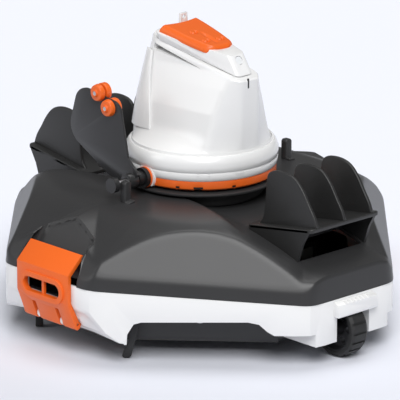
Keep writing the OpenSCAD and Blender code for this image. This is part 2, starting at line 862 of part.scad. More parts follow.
module shell_section(s, t) {
    translate([0, 0, shell_z + s[0] - 0.6 * max(t, 0)])
        linear_extrude(0.2)
            hull()
                for (c = concat([s[1], s[2]], s[0] <= rib_top ? [rib] : []), m = [-1, 1])
                    translate([c[0], m * c[1]]) circle(r = c[2] - t, $fn = 32);
}

module shell_foot(z, t) {
    translate([0, 0, shell_z + z - 0.6 * max(t, 0)]) cylinder(r = shoulder_r - t, h = 0.2, $fn = 64);
}

module shell_tower(t) {
    hull() for (s = shell_sections) shell_section(s, t);
}

module shell_loft(t, low) {
    translate([0, 0, shell_z + low]) cylinder(r = shoulder_r - t, h = shoulder_h - low - 0.6 * max(t, 0) + 0.1, $fn = 64);
    hull() {
        shell_foot(shoulder_h, t);
        shell_section(shell_sections[0], t);
    }
    shell_tower(t);
}

module under_crown(drop = 0) {
    translate([0, 0, crown_z - drop])
        rotate([0, crown_angle, 0])
            translate([-120, -120, -220]) cube([240, 240, 220]);
}

module turret_shell() {
    color(white)
    translate([turret_x, 0, 0])
        difference() {
            intersection() {
                shell_loft(0, seat_gap);
                under_crown();
            }
            shell_loft(wall, -6);
            jet_bore(jet_r + 3 + seat_gap);
            for (m = [0, 1]) mirror([0, m, 0]) shell_slot();
        }
}

// Wedge-shaped slot under the shell's upper rim, in the crown joint's own slope.
module shell_slot() {
    translate([0, 0, crown_z])
        rotate([0, crown_angle, 0])
            translate([0, -14, 0])
                rotate([90, 0, 0])
                    linear_extrude(60) polygon([[-37, -4], [22, -6], [-37, -10]]);
}

jet_r = 15;

module jet_bore(r) {
    translate([-30, 0, jet_z]) rotate([0, -90, 0]) cylinder(r = r, h = 60);
}

jet_x = -41.5;
jet_z = skirt_z + 43;

module jet_nozzle() {
    color(dark)
    translate([turret_x, 0, 0])
        difference() {
            union() {
                translate([-70, 0, jet_z]) rotate([0, 90, 0]) cylinder(r = jet_r + 3, h = 70 + jet_x);
                translate([-72.5, 0, jet_z]) rotate([0, 90, 0]) cylinder(r = jet_r + 6, h = 3);
                translate([jet_x, 0, skirt_z + floor_t]) cylinder(r = jet_r, h = jet_z + jet_r + 3 - skirt_z - floor_t);
            }
            translate([-74, 0, jet_z]) rotate([0, 90, 0]) cylinder(r = jet_r, h = 74 + jet_x);
            translate([jet_x, 0, skirt_z]) cylinder(r = jet_r - 2, h = jet_z - skirt_z);
        }
}

// Rear quarter covers, standing proud of the shell on both sides.
module side_panel() {
    color(white)
    translate([turret_x, 0, 0])
        for (m = [0, 1]) mirror([0, m, 0])
            intersection() {
                difference() {
                    shell_tower(-panel_t);
                    shell_tower(-seat_gap);
                }
                translate([0, -jet_r - 9, shell_z])
                    rotate([90, 0, 0])
                        linear_extrude(90)
                            polygon([[-80, 25], [-22, 25], [-24, 38], [-33, 72], [-37, 96], [-80, 96]]);
            }
}

module cap_outline(d) {
    hull() {
        translate([-30, 18]) circle(r = 6 + d, $fn = 32);
        translate([-30, -18]) circle(r = 6 + d, $fn = 32);
        translate([20, 3]) circle(r = 11 + d, $fn = 32);
        translate([20, -3]) circle(r = 11 + d, $fn = 32);
    }
}

module on_cap_plane() {
    translate([0, 0, cap_z]) rotate([0, cap_angle, 0]) children();
}

module crown_top(t) {
    on_cap_plane() {
        translate([0, 0, -1 - t]) linear_extrude(1) cap_outline(3.5 - t);
        translate([42, 0, (t > 0 ? 0 : crown_rise) - 1 - t])
            linear_extrude(1) hull() for (m = [-1, 1]) translate([0, m * 5]) circle(r = 6 - t, $fn = 32);
    }
}

// Height of the crown's front edge over the cap's seat.
crown_rise = 5;

module crown_body(t) {
    hull() {
        translate([0, 0, crown_z])
            rotate([0, crown_angle, 0])
                linear_extrude(1)
                    hull() for (m = [-1, 1]) {
                        translate([-31, m * 17]) circle(r = 8 - t, $fn = 32);
                        translate([55, m * 5]) circle(r = 6 - t, $fn = 32);
                    }
        crown_top(t);
    }
}

module crown_cover() {
    color(white)
    translate([turret_x, 0, 0])
        difference() {
            crown_body(0);
            translate([0, 0, -0.01]) crown_body(wall);
            under_crown(-seat_gap);
            on_cap_plane() linear_extrude(20) cap_outline(seat_gap);
            at_lens() translate([0, 0, -4]) cylinder(r = 4.4, h = 24);
        }
}

// Seat of the indicator's lens in the crown's front face.
module at_lens() {
    on_cap_plane() translate([45.4, 0, -3.6]) rotate([0, 55, 0]) children();
}

module top_cap() {
    color(orange)
    translate([turret_x, 0, 0])
        on_cap_plane()
            difference() {
                hull() {
                    linear_extrude(2) cap_outline(0);
                    translate([-4, 0, 4]) linear_extrude(3) cap_outline(-4.5);
                }
                translate([-6, 0, 6]) rotate([0, 90, 0]) cylinder(r = 3, h = 60);
                translate([-20, 0, -0.5]) cylinder(r = 3, h = 3);
            }
}

tab_low_z = cap_z + 39.3 * tan(cap_angle) + seat_gap;

module lanyard_tab() {
    color(white)
    translate([turret_x - 39.3, 7, 0])
        difference() {
            translate([0, 0, tab_low_z]) cube([2.8, 9, 10]);
            translate([-1, 4.5, tab_low_z + 6.5]) rotate([0, 90, 0]) cylinder(r = 2, h = 5, $fn = 32);
        }
}

module indicator_lens() {
    color("ghostwhite")
    translate([turret_x, 0, 0]) at_lens() cylinder(r = 3.9, h = 7.3);
}

// ---------- Drive unit ----------

impeller_z = skirt_z - 17;
motor_z = skirt_z + floor_t + 14;
motor_h = 42;

module motor_seal() {
    color(black)
    translate([turret_x, 0, skirt_z + floor_t])
        difference() {
            cylinder(r = motor_r + 4, h = 14);
            translate([0, 0, 6]) cylinder(r = motor_r, h = 9);
            translate([0, 0, -1]) cylinder(r = shaft_r + run_gap, h = 20);
        }
}

module motor() {
    color(steel)
    translate([turret_x, 0, 0]) {
        translate([0, 0, motor_z - 8 + 0.01]) cylinder(r = motor_r, h = motor_h);
        translate([0, 0, motor_z + motor_h - 8]) cylinder(r = 8, h = 5);
    }
}

module impeller() {
    color(black)
    translate([turret_x, 0, impeller_z]) {
        difference() {
            union() {
                cylinder(r = 8, h = 16);
                cylinder(r = impeller_r, h = 2);
                for (i = [0:5])
                    rotate(i * 60)
                        translate([6, 0, 1])
                            linear_extrude(11)
                                polygon([[0, -1], [10, 1.5], [impeller_r - 7, 7], [impeller_r - 8, 9], [9, 3.6], [0, 1.2]]);
            }
            translate([0, 0, -1]) cylinder(r = shaft_r, h = 20);
        }
    }
}

module impeller_shaft() {
    color(steel)
    translate([turret_x, 0, impeller_z - 2]) cylinder(r = shaft_r, h = motor_z - 8 - impeller_z + 1.5);
}

pack_z = motor_z + motor_h + 2;

module battery_pack() {
    color("royalblue")
    translate([turret_x - 8, 0, 0])
        for (s = [-1, 1])
            translate([-cell_l / 2, s * (cell_d / 2 + 0.2), pack_z + cell_d / 2])
                rotate([0, 90, 0]) {
                    cylinder(d = cell_d, h = cell_l);
                    translate([0, 0, cell_l]) cylinder(d = 7, h = 1.5, $fn = 32);
                }
}

module battery_bracket() {
    color(black)
    translate([turret_x - 8, 0, 0])
        difference() {
            translate([-12, -cell_d - 2.5, motor_z + motor_h - 6])
                cube([cell_l / 2 + 4, 2 * cell_d + 5, cell_d / 2 + 8]);
            for (s = [-1, 1])
                translate([-cell_l / 2 - 1, s * (cell_d / 2 + 0.2), pack_z + cell_d / 2])
                    rotate([0, 90, 0]) cylinder(d = cell_d, h = cell_l + 2);
            translate([8, 0, motor_z]) cylinder(r = motor_r + 0.05, h = motor_h - 8);
            translate([8, 0, motor_z]) cylinder(r = 8.05, h = motor_h - 3);
        }
}

module control_board() {
    color("seagreen")
    translate([turret_x - 36, -5, pack_z + cell_d + seat_gap]) {
        cube([56, 30, 1.6]);
        translate([6, 6, 1.6]) cube([10, 10, 2]);
        translate([26, 8, 1.6]) cube([14, 7, 3]);
    }
}

module spindle_clip() {
    color(steel)
    translate([turret_x, 0, spindle_low + 4.2])
        difference() {
            cylinder(r = spindle_r + 3, h = 1.8);
            translate([0, 0, -1]) cylinder(r = spindle_r - 1.2, h = 4);
            translate([20, -7, -1]) cube([30, 14, 4]);
        }
}

// ---------- Paddle ----------

bearing_in = base_r - 10;
bearing_out = paddle_y - paddle_t / 2 - 3.2;
bearing_r = 7.2;
boss_out = ring_r + 1.5;
flange_r = 9.6;
hub_r = 7.4;

module paddle_bearing() {
    color(black)
    translate([turret_x, 0, paddle_z])
        rotate([90, 0, 0])
            difference() {
                union() {
                    translate([0, 0, bearing_in]) cylinder(r = bearing_r, h = bearing_out - bearing_in);
                    translate([0, 0, boss_out + 2]) cylinder(r = flange_r, h = 4);
                }
                translate([0, 0, bearing_in - 1]) cylinder(r = paddle_pin_r + run_gap, h = 60);
            }
}

module paddle_seal() {
    color(orange)
    translate([turret_x, 0, paddle_z])
        rotate([90, 0, 0])
            difference() {
                translate([0, 0, boss_out]) cylinder(r = flange_r + 0.3, h = 2);
                translate([0, 0, boss_out - 1]) cylinder(r = bearing_r, h = 4);
            }
}

pin_out = post_y + post_t / 2 + 4.6;

module paddle_pin() {
    color(steel)
    translate([turret_x, 0, paddle_z])
        rotate([90, 0, 0])
            translate([0, 0, bearing_in + 2]) cylinder(r = paddle_pin_r, h = pin_out - bearing_in - 2);
}

module pin_cap() {
    color(smoke)
    translate([turret_x, 0, paddle_z])
        rotate([90, 0, 0])
            difference() {
                translate([0, 0, pin_out - 3]) cylinder(r = 7, h = 6);
                translate([0, 0, pin_out - 4]) cylinder(r = paddle_pin_r, h = 4);
            }
}

// Outline of the paddle in its own plane, hinge at the origin, tip towards +Y.
module paddle_outline() {
    hull() {
        translate([1, 86]) circle(r = 17, $fn = 40);
        translate([26, 60]) circle(r = 12, $fn = 40);
        translate([-16, 74]) circle(r = 20, $fn = 40);
        translate([-4, 30]) circle(r = 20, $fn = 40);
    }
    translate([-14, -2]) square([26, 30]);
}

paddle_lean = 46;

module in_paddle_plane() {
    translate([turret_x, -paddle_y, paddle_z])
        rotate([90, 0, 0])
            rotate(paddle_lean) children();
}

module paddle() {
    color(smoke, 0.8)
    difference() {
        union() {
            in_paddle_plane()
                translate([0, 0, -paddle_t / 2]) linear_extrude(paddle_t) paddle_outline();
            translate([turret_x, -paddle_y + 3, paddle_z])
                rotate([90, 0, 0]) cylinder(r = hub_r, h = 10);
        }
        translate([turret_x, -paddle_y + 10, paddle_z])
            rotate([90, 0, 0]) cylinder(r = paddle_pin_r, h = 40);
        in_paddle_plane()
            for (p = float_at)
                translate([p[0], p[1], -10]) cylinder(r = 2, h = 20, $fn = 32);
    }
}

float_at = [[25.5, 84.5], [26.5, 66]];

module paddle_floats() {
    color(orange)
    in_paddle_plane()
        for (p = float_at)
            translate([p[0], p[1], paddle_t / 2])
                difference() {
                    union() {
                        cylinder(r1 = float_r, r2 = float_r - 1, h = 5);
                        cylinder(r = 3.4, h = 7);
                        translate([0, 0, -paddle_t - 6]) cylinder(r = float_r, h = 6);
                    }
                    translate([0, 0, -paddle_t]) cylinder(r = float_r + 2, h = paddle_t);
                    translate([0, 0, -20]) cylinder(r = 2, h = 40, $fn = 32);
                }
}

module float_screws() {
    color(steel)
    in_paddle_plane()
        for (p = float_at)
            translate([p[0], p[1], -paddle_t / 2 - 6]) {
                cylinder(r = 2, h = paddle_t + 12.6, $fn = 32);
                translate([0, 0, -1.2]) cylinder(r = 3.4, h = 1.2, $fn = 32);
            }
}

// ---------- Latches ----------

latch_gap = 0.5;
bend_z = side_part_z + 8.5;
latch_top_z = bend_z + 15;

// Side profile of the latch in the YZ plane, drawn for the +Y side.
module latch_profile() {
    o = half_w + latch_gap;
    polygon([
        [o, tuck_z], [o, bend_z], [pocket_in + 2, latch_top_z], [pocket_in + 1.6, latch_top_z + 2.4],
        [pocket_in + 4, latch_top_z + 3.4], [o + latch_t, bend_z + 1.6], [o + latch_t, tuck_z - 1],
        [latch_pin_y + 4.4, latch_pin_z + 1], [latch_pin_y + 3.6, latch_pin_z - 2.6],
        [latch_pin_y + 1, latch_pin_z - 5], [latch_pin_y - 2, latch_pin_z - 3.6],
        [latch_pin_y - latch_eye_r + 0.4, latch_pin_z - 1], [latch_pin_y - latch_eye_r + 0.4, latch_pin_z + 1],
        [latch_pin_y - 1, latch_pin_z + 3.4]
    ]);
}

module latch() {
    color(orange)
    difference() {
        union() {
            translate([-latch_w / 2, 0, 0]) rotate([90, 0, 90]) linear_extrude(latch_w) latch_profile();
            // Raised frame round the finger grip.
            translate([0, half_w + latch_gap + latch_t - 1, grip_mid_z])
                rotate([-90, 0, 0])
                    linear_extrude(3)
                        difference() {
                            stadium(grip_w + 6, grip_h + 7);
                            stadium(grip_w - 4, grip_h - 3);
                        }
        }
        translate([0, half_w - 5, grip_mid_z])
            rotate([-90, 0, 0]) linear_extrude(20) stadium(grip_w - 4, grip_h - 3);
        for (x = [-lug_x, lug_x])
            translate([x - lug_t / 2 - 0.4, half_w - 40, latch_pin_z - 12])
                cube([lug_t + 0.8, 60, 26]);
        translate([0, latch_pin_y, latch_pin_z])
            rotate([0, 90, 0]) cylinder(r = latch_pin_r + run_gap, h = latch_w + 2, center = true, $fn = 32);
        // The hull's own wall stays clear of the latch's foot.
        translate([-latch_w, 0, 0])
            rotate([90, 0, 90])
                linear_extrude(2 * latch_w)
                    polygon([
                        [half_w + latch_gap, tuck_z], [half_w - tuck_in / 2 + latch_gap, (tuck_z + hull_low_z + 11) / 2],
                        [0, (tuck_z + hull_low_z + 11) / 2], [0, tuck_z]
                    ]);
    }
    color(orange)
    translate([-1.5, half_w + latch_gap + 0.5, grip_mid_z - grip_h / 2 + 1])
        cube([3, latch_t - 1, grip_h - 2]);
}

grip_mid_z = grip_z + grip_h / 2;

module stadium(w, h) {
    square([w - h, h], center = true);
    for (s = [-1, 1]) translate([s * (w - h) / 2, 0]) circle(d = h, $fn = 40);
}

module latch_left() { latch(); }
module latch_right() { mirror([0, 1, 0]) latch(); }

module latch_pin() {
    color(steel)
    translate([0, latch_pin_y, latch_pin_z])
        rotate([0, 90, 0]) cylinder(r = latch_pin_r, h = latch_w - 4, center = true, $fn = 32);
}

module latch_pin_left() { latch_pin(); }
module latch_pin_right() { mirror([0, 1, 0]) latch_pin(); }

// ---------- Wheels ----------

hood_w = 51;
hood_out = half_l + 7.5;

module hood() {
    color(white)
    difference() {
        union() {
            translate([0, hood_w / 2, 0])
                rotate([90, 0, 0])
                    linear_extrude(hood_w)
                        polygon([
                            [half_l + 0.1, end_part_z - 16], [hood_out - 1, end_part_z - 16],
                            [hood_out, end_part_z - 13], [hood_out - 1.5, end_part_z - 4.5],
                            [half_l + 0.1, end_part_z - 2]
                        ]);
            for (i = [-3:3])
                translate([half_l + 1, i * 5 - 0.5, end_part_z - 4.2])
                    rotate([0, 18, 0]) cube([5, 1, 2.2]);
        }
        // Arch over the tyre.
        translate([wheel_x, 0, wheel_r])
            rotate([90, 0, 0]) cylinder(r = wheel_r + 1.5, h = wheel_w + 4, center = true);
    }
}

module front_hood() { hood(); }
module rear_hood() { rotate(180) hood(); }

module axle() {
    color(steel)
    translate([wheel_x, 0, wheel_r])
        rotate([90, 0, 0]) cylinder(r = axle_r, h = well_w + 2 * wall, center = true);
}

module front_axle() { axle(); }
module rear_axle() { rotate(180) axle(); }

rim_r = wheel_r - 5;

module wheel() {
    color(black)
    translate([wheel_x, 0, wheel_r])
        rotate([90, 0, 0])
            difference() {
                rotate_extrude($fn = 72)
                    polygon([
                        [axle_r + run_gap, -wheel_w / 2 - 2], [axle_r + 5, -wheel_w / 2 - 2], [axle_r + 5, -3],
                        [rim_r - 4, -3], [rim_r - 2, -wheel_w / 2 + 1], [rim_r, -wheel_w / 2 + 1],
                        [rim_r, wheel_w / 2 - 1], [rim_r - 2, wheel_w / 2 - 1], [rim_r - 4, 3],
                        [axle_r + 5, 3], [axle_r + 5, wheel_w / 2 + 2], [axle_r + run_gap, wheel_w / 2 + 2]
                    ]);
                for (i = [0:5])
                    rotate(i * 60) translate([13, 0, 0]) cylinder(r = 3.2, h = 20, center = true, $fn = 32);
            }
}

module tyre() {
    color(black)
    translate([wheel_x, 0, wheel_r])
        rotate([90, 0, 0])
            difference() {
                rotate_extrude($fn = 72)
                    polygon([
                        [rim_r, -wheel_w / 2], [wheel_r - 2, -wheel_w / 2], [wheel_r, -wheel_w / 2 + 3],
                        [wheel_r, wheel_w / 2 - 3], [wheel_r - 2, wheel_w / 2], [rim_r, wheel_w / 2]
                    ]);
                for (i = [0:17])
                    rotate(i * 20) translate([wheel_r - 1.2, -1.2, -wheel_w / 2 - 1]) cube([3, 2.4, wheel_w + 2]);
            }
}

module front_wheel() { wheel(); }
module rear_wheel() { rotate(180) wheel(); }
module front_tyre() { tyre(); }
module rear_tyre() { rotate(180) tyre(); }

base_hull();
bottom_plate();
bottom_screws();
intake_flap();
intake_flap_pin();
floor_squeegees();
corner_glides();
filter_frame();
filter_mesh();
hull_seal();
top_cover();
turret_bearing();
front_fin_deck();
rear_fin_deck();
deck_screws();
stop_posts();
turret_ring();
turret_skirt();
turret_shell();
side_panel();
crown_cover();
top_cap();
lanyard_tab();
indicator_lens();
jet_nozzle();
motor();
motor_seal();
impeller();
impeller_shaft();
battery_pack();
battery_bracket();
control_board();
spindle_clip();
paddle_bearing();
paddle_seal();
paddle_pin();
pin_cap();
paddle();
paddle_floats();
float_screws();
latch_left();
latch_right();
latch_pin_left();
latch_pin_right();
front_hood();
rear_hood();
front_axle();
rear_axle();
front_wheel();
rear_wheel();
front_tyre();
rear_tyre();
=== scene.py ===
"""Looks of the pool cleaner: finishes, moulded detail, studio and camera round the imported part."""

import logging
import math
from dataclasses import dataclass, field
from enum import Enum
from typing import Dict, List, Sequence, Tuple

import bmesh
import bpy
from mathutils import Matrix, Vector


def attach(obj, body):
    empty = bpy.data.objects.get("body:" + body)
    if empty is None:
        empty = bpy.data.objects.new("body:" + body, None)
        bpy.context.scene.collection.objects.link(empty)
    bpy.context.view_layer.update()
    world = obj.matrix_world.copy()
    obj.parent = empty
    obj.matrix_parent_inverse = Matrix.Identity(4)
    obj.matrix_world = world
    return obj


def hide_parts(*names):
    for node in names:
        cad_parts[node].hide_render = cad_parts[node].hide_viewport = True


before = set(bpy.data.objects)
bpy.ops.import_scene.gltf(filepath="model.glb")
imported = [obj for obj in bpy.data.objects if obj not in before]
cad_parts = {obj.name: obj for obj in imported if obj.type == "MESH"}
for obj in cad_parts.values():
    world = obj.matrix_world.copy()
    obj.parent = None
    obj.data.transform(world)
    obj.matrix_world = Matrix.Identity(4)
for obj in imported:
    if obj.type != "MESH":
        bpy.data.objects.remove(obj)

LOG = logging.getLogger("pool_cleaner")
MM = 0.001
Colour = Tuple[float, float, float]
Point = Tuple[float, float, float]
Pair = Tuple[float, float]


# ---------------------------------------------------------------- finishes


def new_material(name: str) -> Tuple[bpy.types.Material, bpy.types.Nodes, bpy.types.NodeLinks, bpy.types.Node]:
    """Start a node material.

    Args:
        name: The material's name.

    Returns:
        The material, its nodes, its links and its shader.
    """
    material = bpy.data.materials.new(name)
    material.use_nodes = True
    tree = material.node_tree
    return material, tree.nodes, tree.links, tree.nodes["Principled BSDF"]


@dataclass(frozen=True)
class MouldedPlastic:
    """Injection-moulded plastic with a fine grain and a little variation in colour and gloss."""

    name: str
    colour: Colour
    roughness: float = 0.3
    grain_mm: float = 0.6
    grain_depth: float = 0.04
    mottle: float = 0.04
    coat: float = 0.0
    alpha: float = 1.0
    specular: float = 0.5
    wear: float = 0.4
    gloss_spread: float = 0.12

    def build(self) -> bpy.types.Material:
        """Make the material.

        Returns:
            The node material, reading Object coordinates only.
        """
        material, nodes, links, shader = new_material(self.name)
        shader.inputs["Coat Weight"].default_value = self.coat
        shader.inputs["Coat Roughness"].default_value = 0.12
        shader.inputs["IOR"].default_value = 1.5
        shader.inputs["Specular IOR Level"].default_value = self.specular
        shader.inputs["Alpha"].default_value = self.alpha
        place = nodes.new("ShaderNodeTexCoord")
        broad = nodes.new("ShaderNodeTexNoise")
        broad.inputs["Scale"].default_value = 18.0
        broad.inputs["Detail"].default_value = 3.0
        fine = nodes.new("ShaderNodeTexNoise")
        fine.inputs["Scale"].default_value = 1000.0 / self.grain_mm
        fine.inputs["Detail"].default_value = 2.0
        links.new(place.outputs["Object"], broad.inputs["Vector"])
        links.new(place.outputs["Object"], fine.inputs["Vector"])
        tint = nodes.new("ShaderNodeMix")
        tint.data_type = "RGBA"
        spread, gloss_spread = self.mottle * self.wear, self.gloss_spread * self.wear
        tint.inputs["A"].default_value = (*[c * (1 - spread) for c in self.colour], 1)
        tint.inputs["B"].default_value = (*[min(1.0, c * (1 + spread)) for c in self.colour], 1)
        links.new(broad.outputs["Fac"], tint.inputs["Factor"])
        links.new(tint.outputs["Result"], shader.inputs["Base Color"])
        gloss = nodes.new("ShaderNodeMapRange")
        gloss.inputs["To Min"].default_value = self.roughness * (1 - gloss_spread)
        gloss.inputs["To Max"].default_value = self.roughness * (1 + gloss_spread)
        links.new(broad.outputs["Fac"], gloss.inputs["Value"])
        links.new(gloss.outputs["Result"], shader.inputs["Roughness"])
        bump = nodes.new("ShaderNodeBump")
        bump.inputs["Strength"].default_value = self.grain_depth
        bump.inputs["Distance"].default_value = 0.0002
        links.new(fine.outputs["Fac"], bump.inputs["Height"])
        links.new(bump.outputs["Normal"], shader.inputs["Normal"])
        return material


@dataclass(frozen=True)
class BrushedSteel:
    """Stainless steel with fine drawn lines."""

    name: str
    colour: Colour = (0.55, 0.55, 0.56)
    roughness: float = 0.3

    def build(self) -> bpy.types.Material:
        """Make the material.

        Returns:
            The node material, reading Object coordinates only.
        """
        material, nodes, links, shader = new_material(self.name)
        shader.inputs["Metallic"].default_value = 1.0
        shader.inputs["Base Color"].default_value = (*self.colour, 1)
        place = nodes.new("ShaderNodeTexCoord")
        stretch = nodes.new("ShaderNodeMapping")
        stretch.inputs["Scale"].default_value = (1.0, 1.0, 40.0)
        lines = nodes.new("ShaderNodeTexNoise")
        lines.inputs["Scale"].default_value = 60.0
        links.new(place.outputs["Object"], stretch.inputs["Vector"])
        links.new(stretch.outputs["Vector"], lines.inputs["Vector"])
        gloss = nodes.new("ShaderNodeMapRange")
        gloss.inputs["To Min"].default_value = self.roughness * 0.8
        gloss.inputs["To Max"].default_value = self.roughness * 1.3
        links.new(lines.outputs["Fac"], gloss.inputs["Value"])
        links.new(gloss.outputs["Result"], shader.inputs["Roughness"])
        return material


@dataclass(frozen=True)
class MouldedRubber:
    """Matt rubber with a dusty, uneven surface."""

    name: str
    colour: Colour = (0.018, 0.018, 0.019)

    def build(self) -> bpy.types.Material:
        """Make the material.

        Returns:
            The node material, reading Object coordinates only.
        """
        material, nodes, links, shader = new_material(self.name)
        place = nodes.new("ShaderNodeTexCoord")
        dust = nodes.new("ShaderNodeTexNoise")
        dust.inputs["Scale"].default_value = 90.0
        dust.inputs["Detail"].default_value = 5.0
        links.new(place.outputs["Object"], dust.inputs["Vector"])
        tint = nodes.new("ShaderNodeMix")
        tint.data_type = "RGBA"
        tint.inputs["A"].default_value = (*self.colour, 1)
        tint.inputs["B"].default_value = (*[c * 1.8 + 0.006 for c in self.colour], 1)
        links.new(dust.outputs["Fac"], tint.inputs["Factor"])
        links.new(tint.outputs["Result"], shader.inputs["Base Color"])
        shader.inputs["Roughness"].default_value = 0.62
        bump = nodes.new("ShaderNodeBump")
        bump.inputs["Strength"].default_value = 0.15
        bump.inputs["Distance"].default_value = 0.0003
        links.new(dust.outputs["Fac"], bump.inputs["Height"])
        links.new(bump.outputs["Normal"], shader.inputs["Normal"])
        return material


class Finish(Enum):
    """The finishes of the cleaner, named after what they are used for."""

    HULL_WHITE = MouldedPlastic("hull_white", (0.84, 0.84, 0.835), 0.25, 0.5, 0.02, 0.02, 0.3)
    COVER_DARK = MouldedPlastic("cover_dark", (0.034, 0.034, 0.035), 0.37, 0.35, 0.10, 0.10, specular=0.4)
    FIN_DARK = MouldedPlastic("fin_dark", (0.022, 0.022, 0.022), 0.42, 0.35, 0.10, 0.10)
    UNDER_DARK = MouldedPlastic("under_dark", (0.045, 0.045, 0.046), 0.5, 0.5, 0.08, 0.12)
    BEARING_BLACK = MouldedPlastic("bearing_black", (0.012, 0.012, 0.013), 0.35, 0.5, 0.05, 0.1)
    ORANGE = MouldedPlastic("accent_orange", (0.83, 0.135, 0.012), 0.42, 0.5, 0.03, 0.05, 0.05, specular=0.45)
    SMOKE = MouldedPlastic("smoke_plastic", (0.028, 0.028, 0.029), 0.3, 0.8, 0.02, 0.05, 0.0, 0.94)
    LENS = MouldedPlastic("lens", (0.85, 0.87, 0.88), 0.08, 1.0, 0.0, 0.02, 0.5)
    CELL = MouldedPlastic("cell_wrap", (0.05, 0.14, 0.5), 0.3, 0.6, 0.02, 0.05)
    BOARD = MouldedPlastic("board", (0.02, 0.2, 0.08), 0.35, 0.4, 0.02, 0.2)
    MESH = MouldedPlastic("filter_mesh_cloth", (0.6, 0.6, 0.57), 0.8, 0.9, 0.6, 0.1)
    STEEL = BrushedSteel("steel")
    RUBBER = MouldedRubber("rubber")
    TYRE = MouldedRubber("tyre", (0.010, 0.010, 0.010))


class Paint:
    """Builds each finish once and hands it out."""

    _made: Dict[str, bpy.types.Material] = {}

    @classmethod
    def get(cls, finish: Finish) -> bpy.types.Material:
        """The material of a finish, built on first use."""
        if finish.name not in cls._made:
            cls._made[finish.name] = finish.value.build()
        return cls._made[finish.name]

    @classmethod
    def dress(cls, piece: bpy.types.Object, finish: Finish) -> None:
        """Give a piece one finish all over."""
        piece.data.materials.clear()
        piece.data.materials.append(cls.get(finish))

    @classmethod
    def dress_node(cls, node: str, finish: Finish) -> None:
        """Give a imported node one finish, through its material slots."""
        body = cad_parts[node]
        for slot in body.material_slots:
            slot.material = cls.get(finish)


# ---------------------------------------------------------------- shaping tools


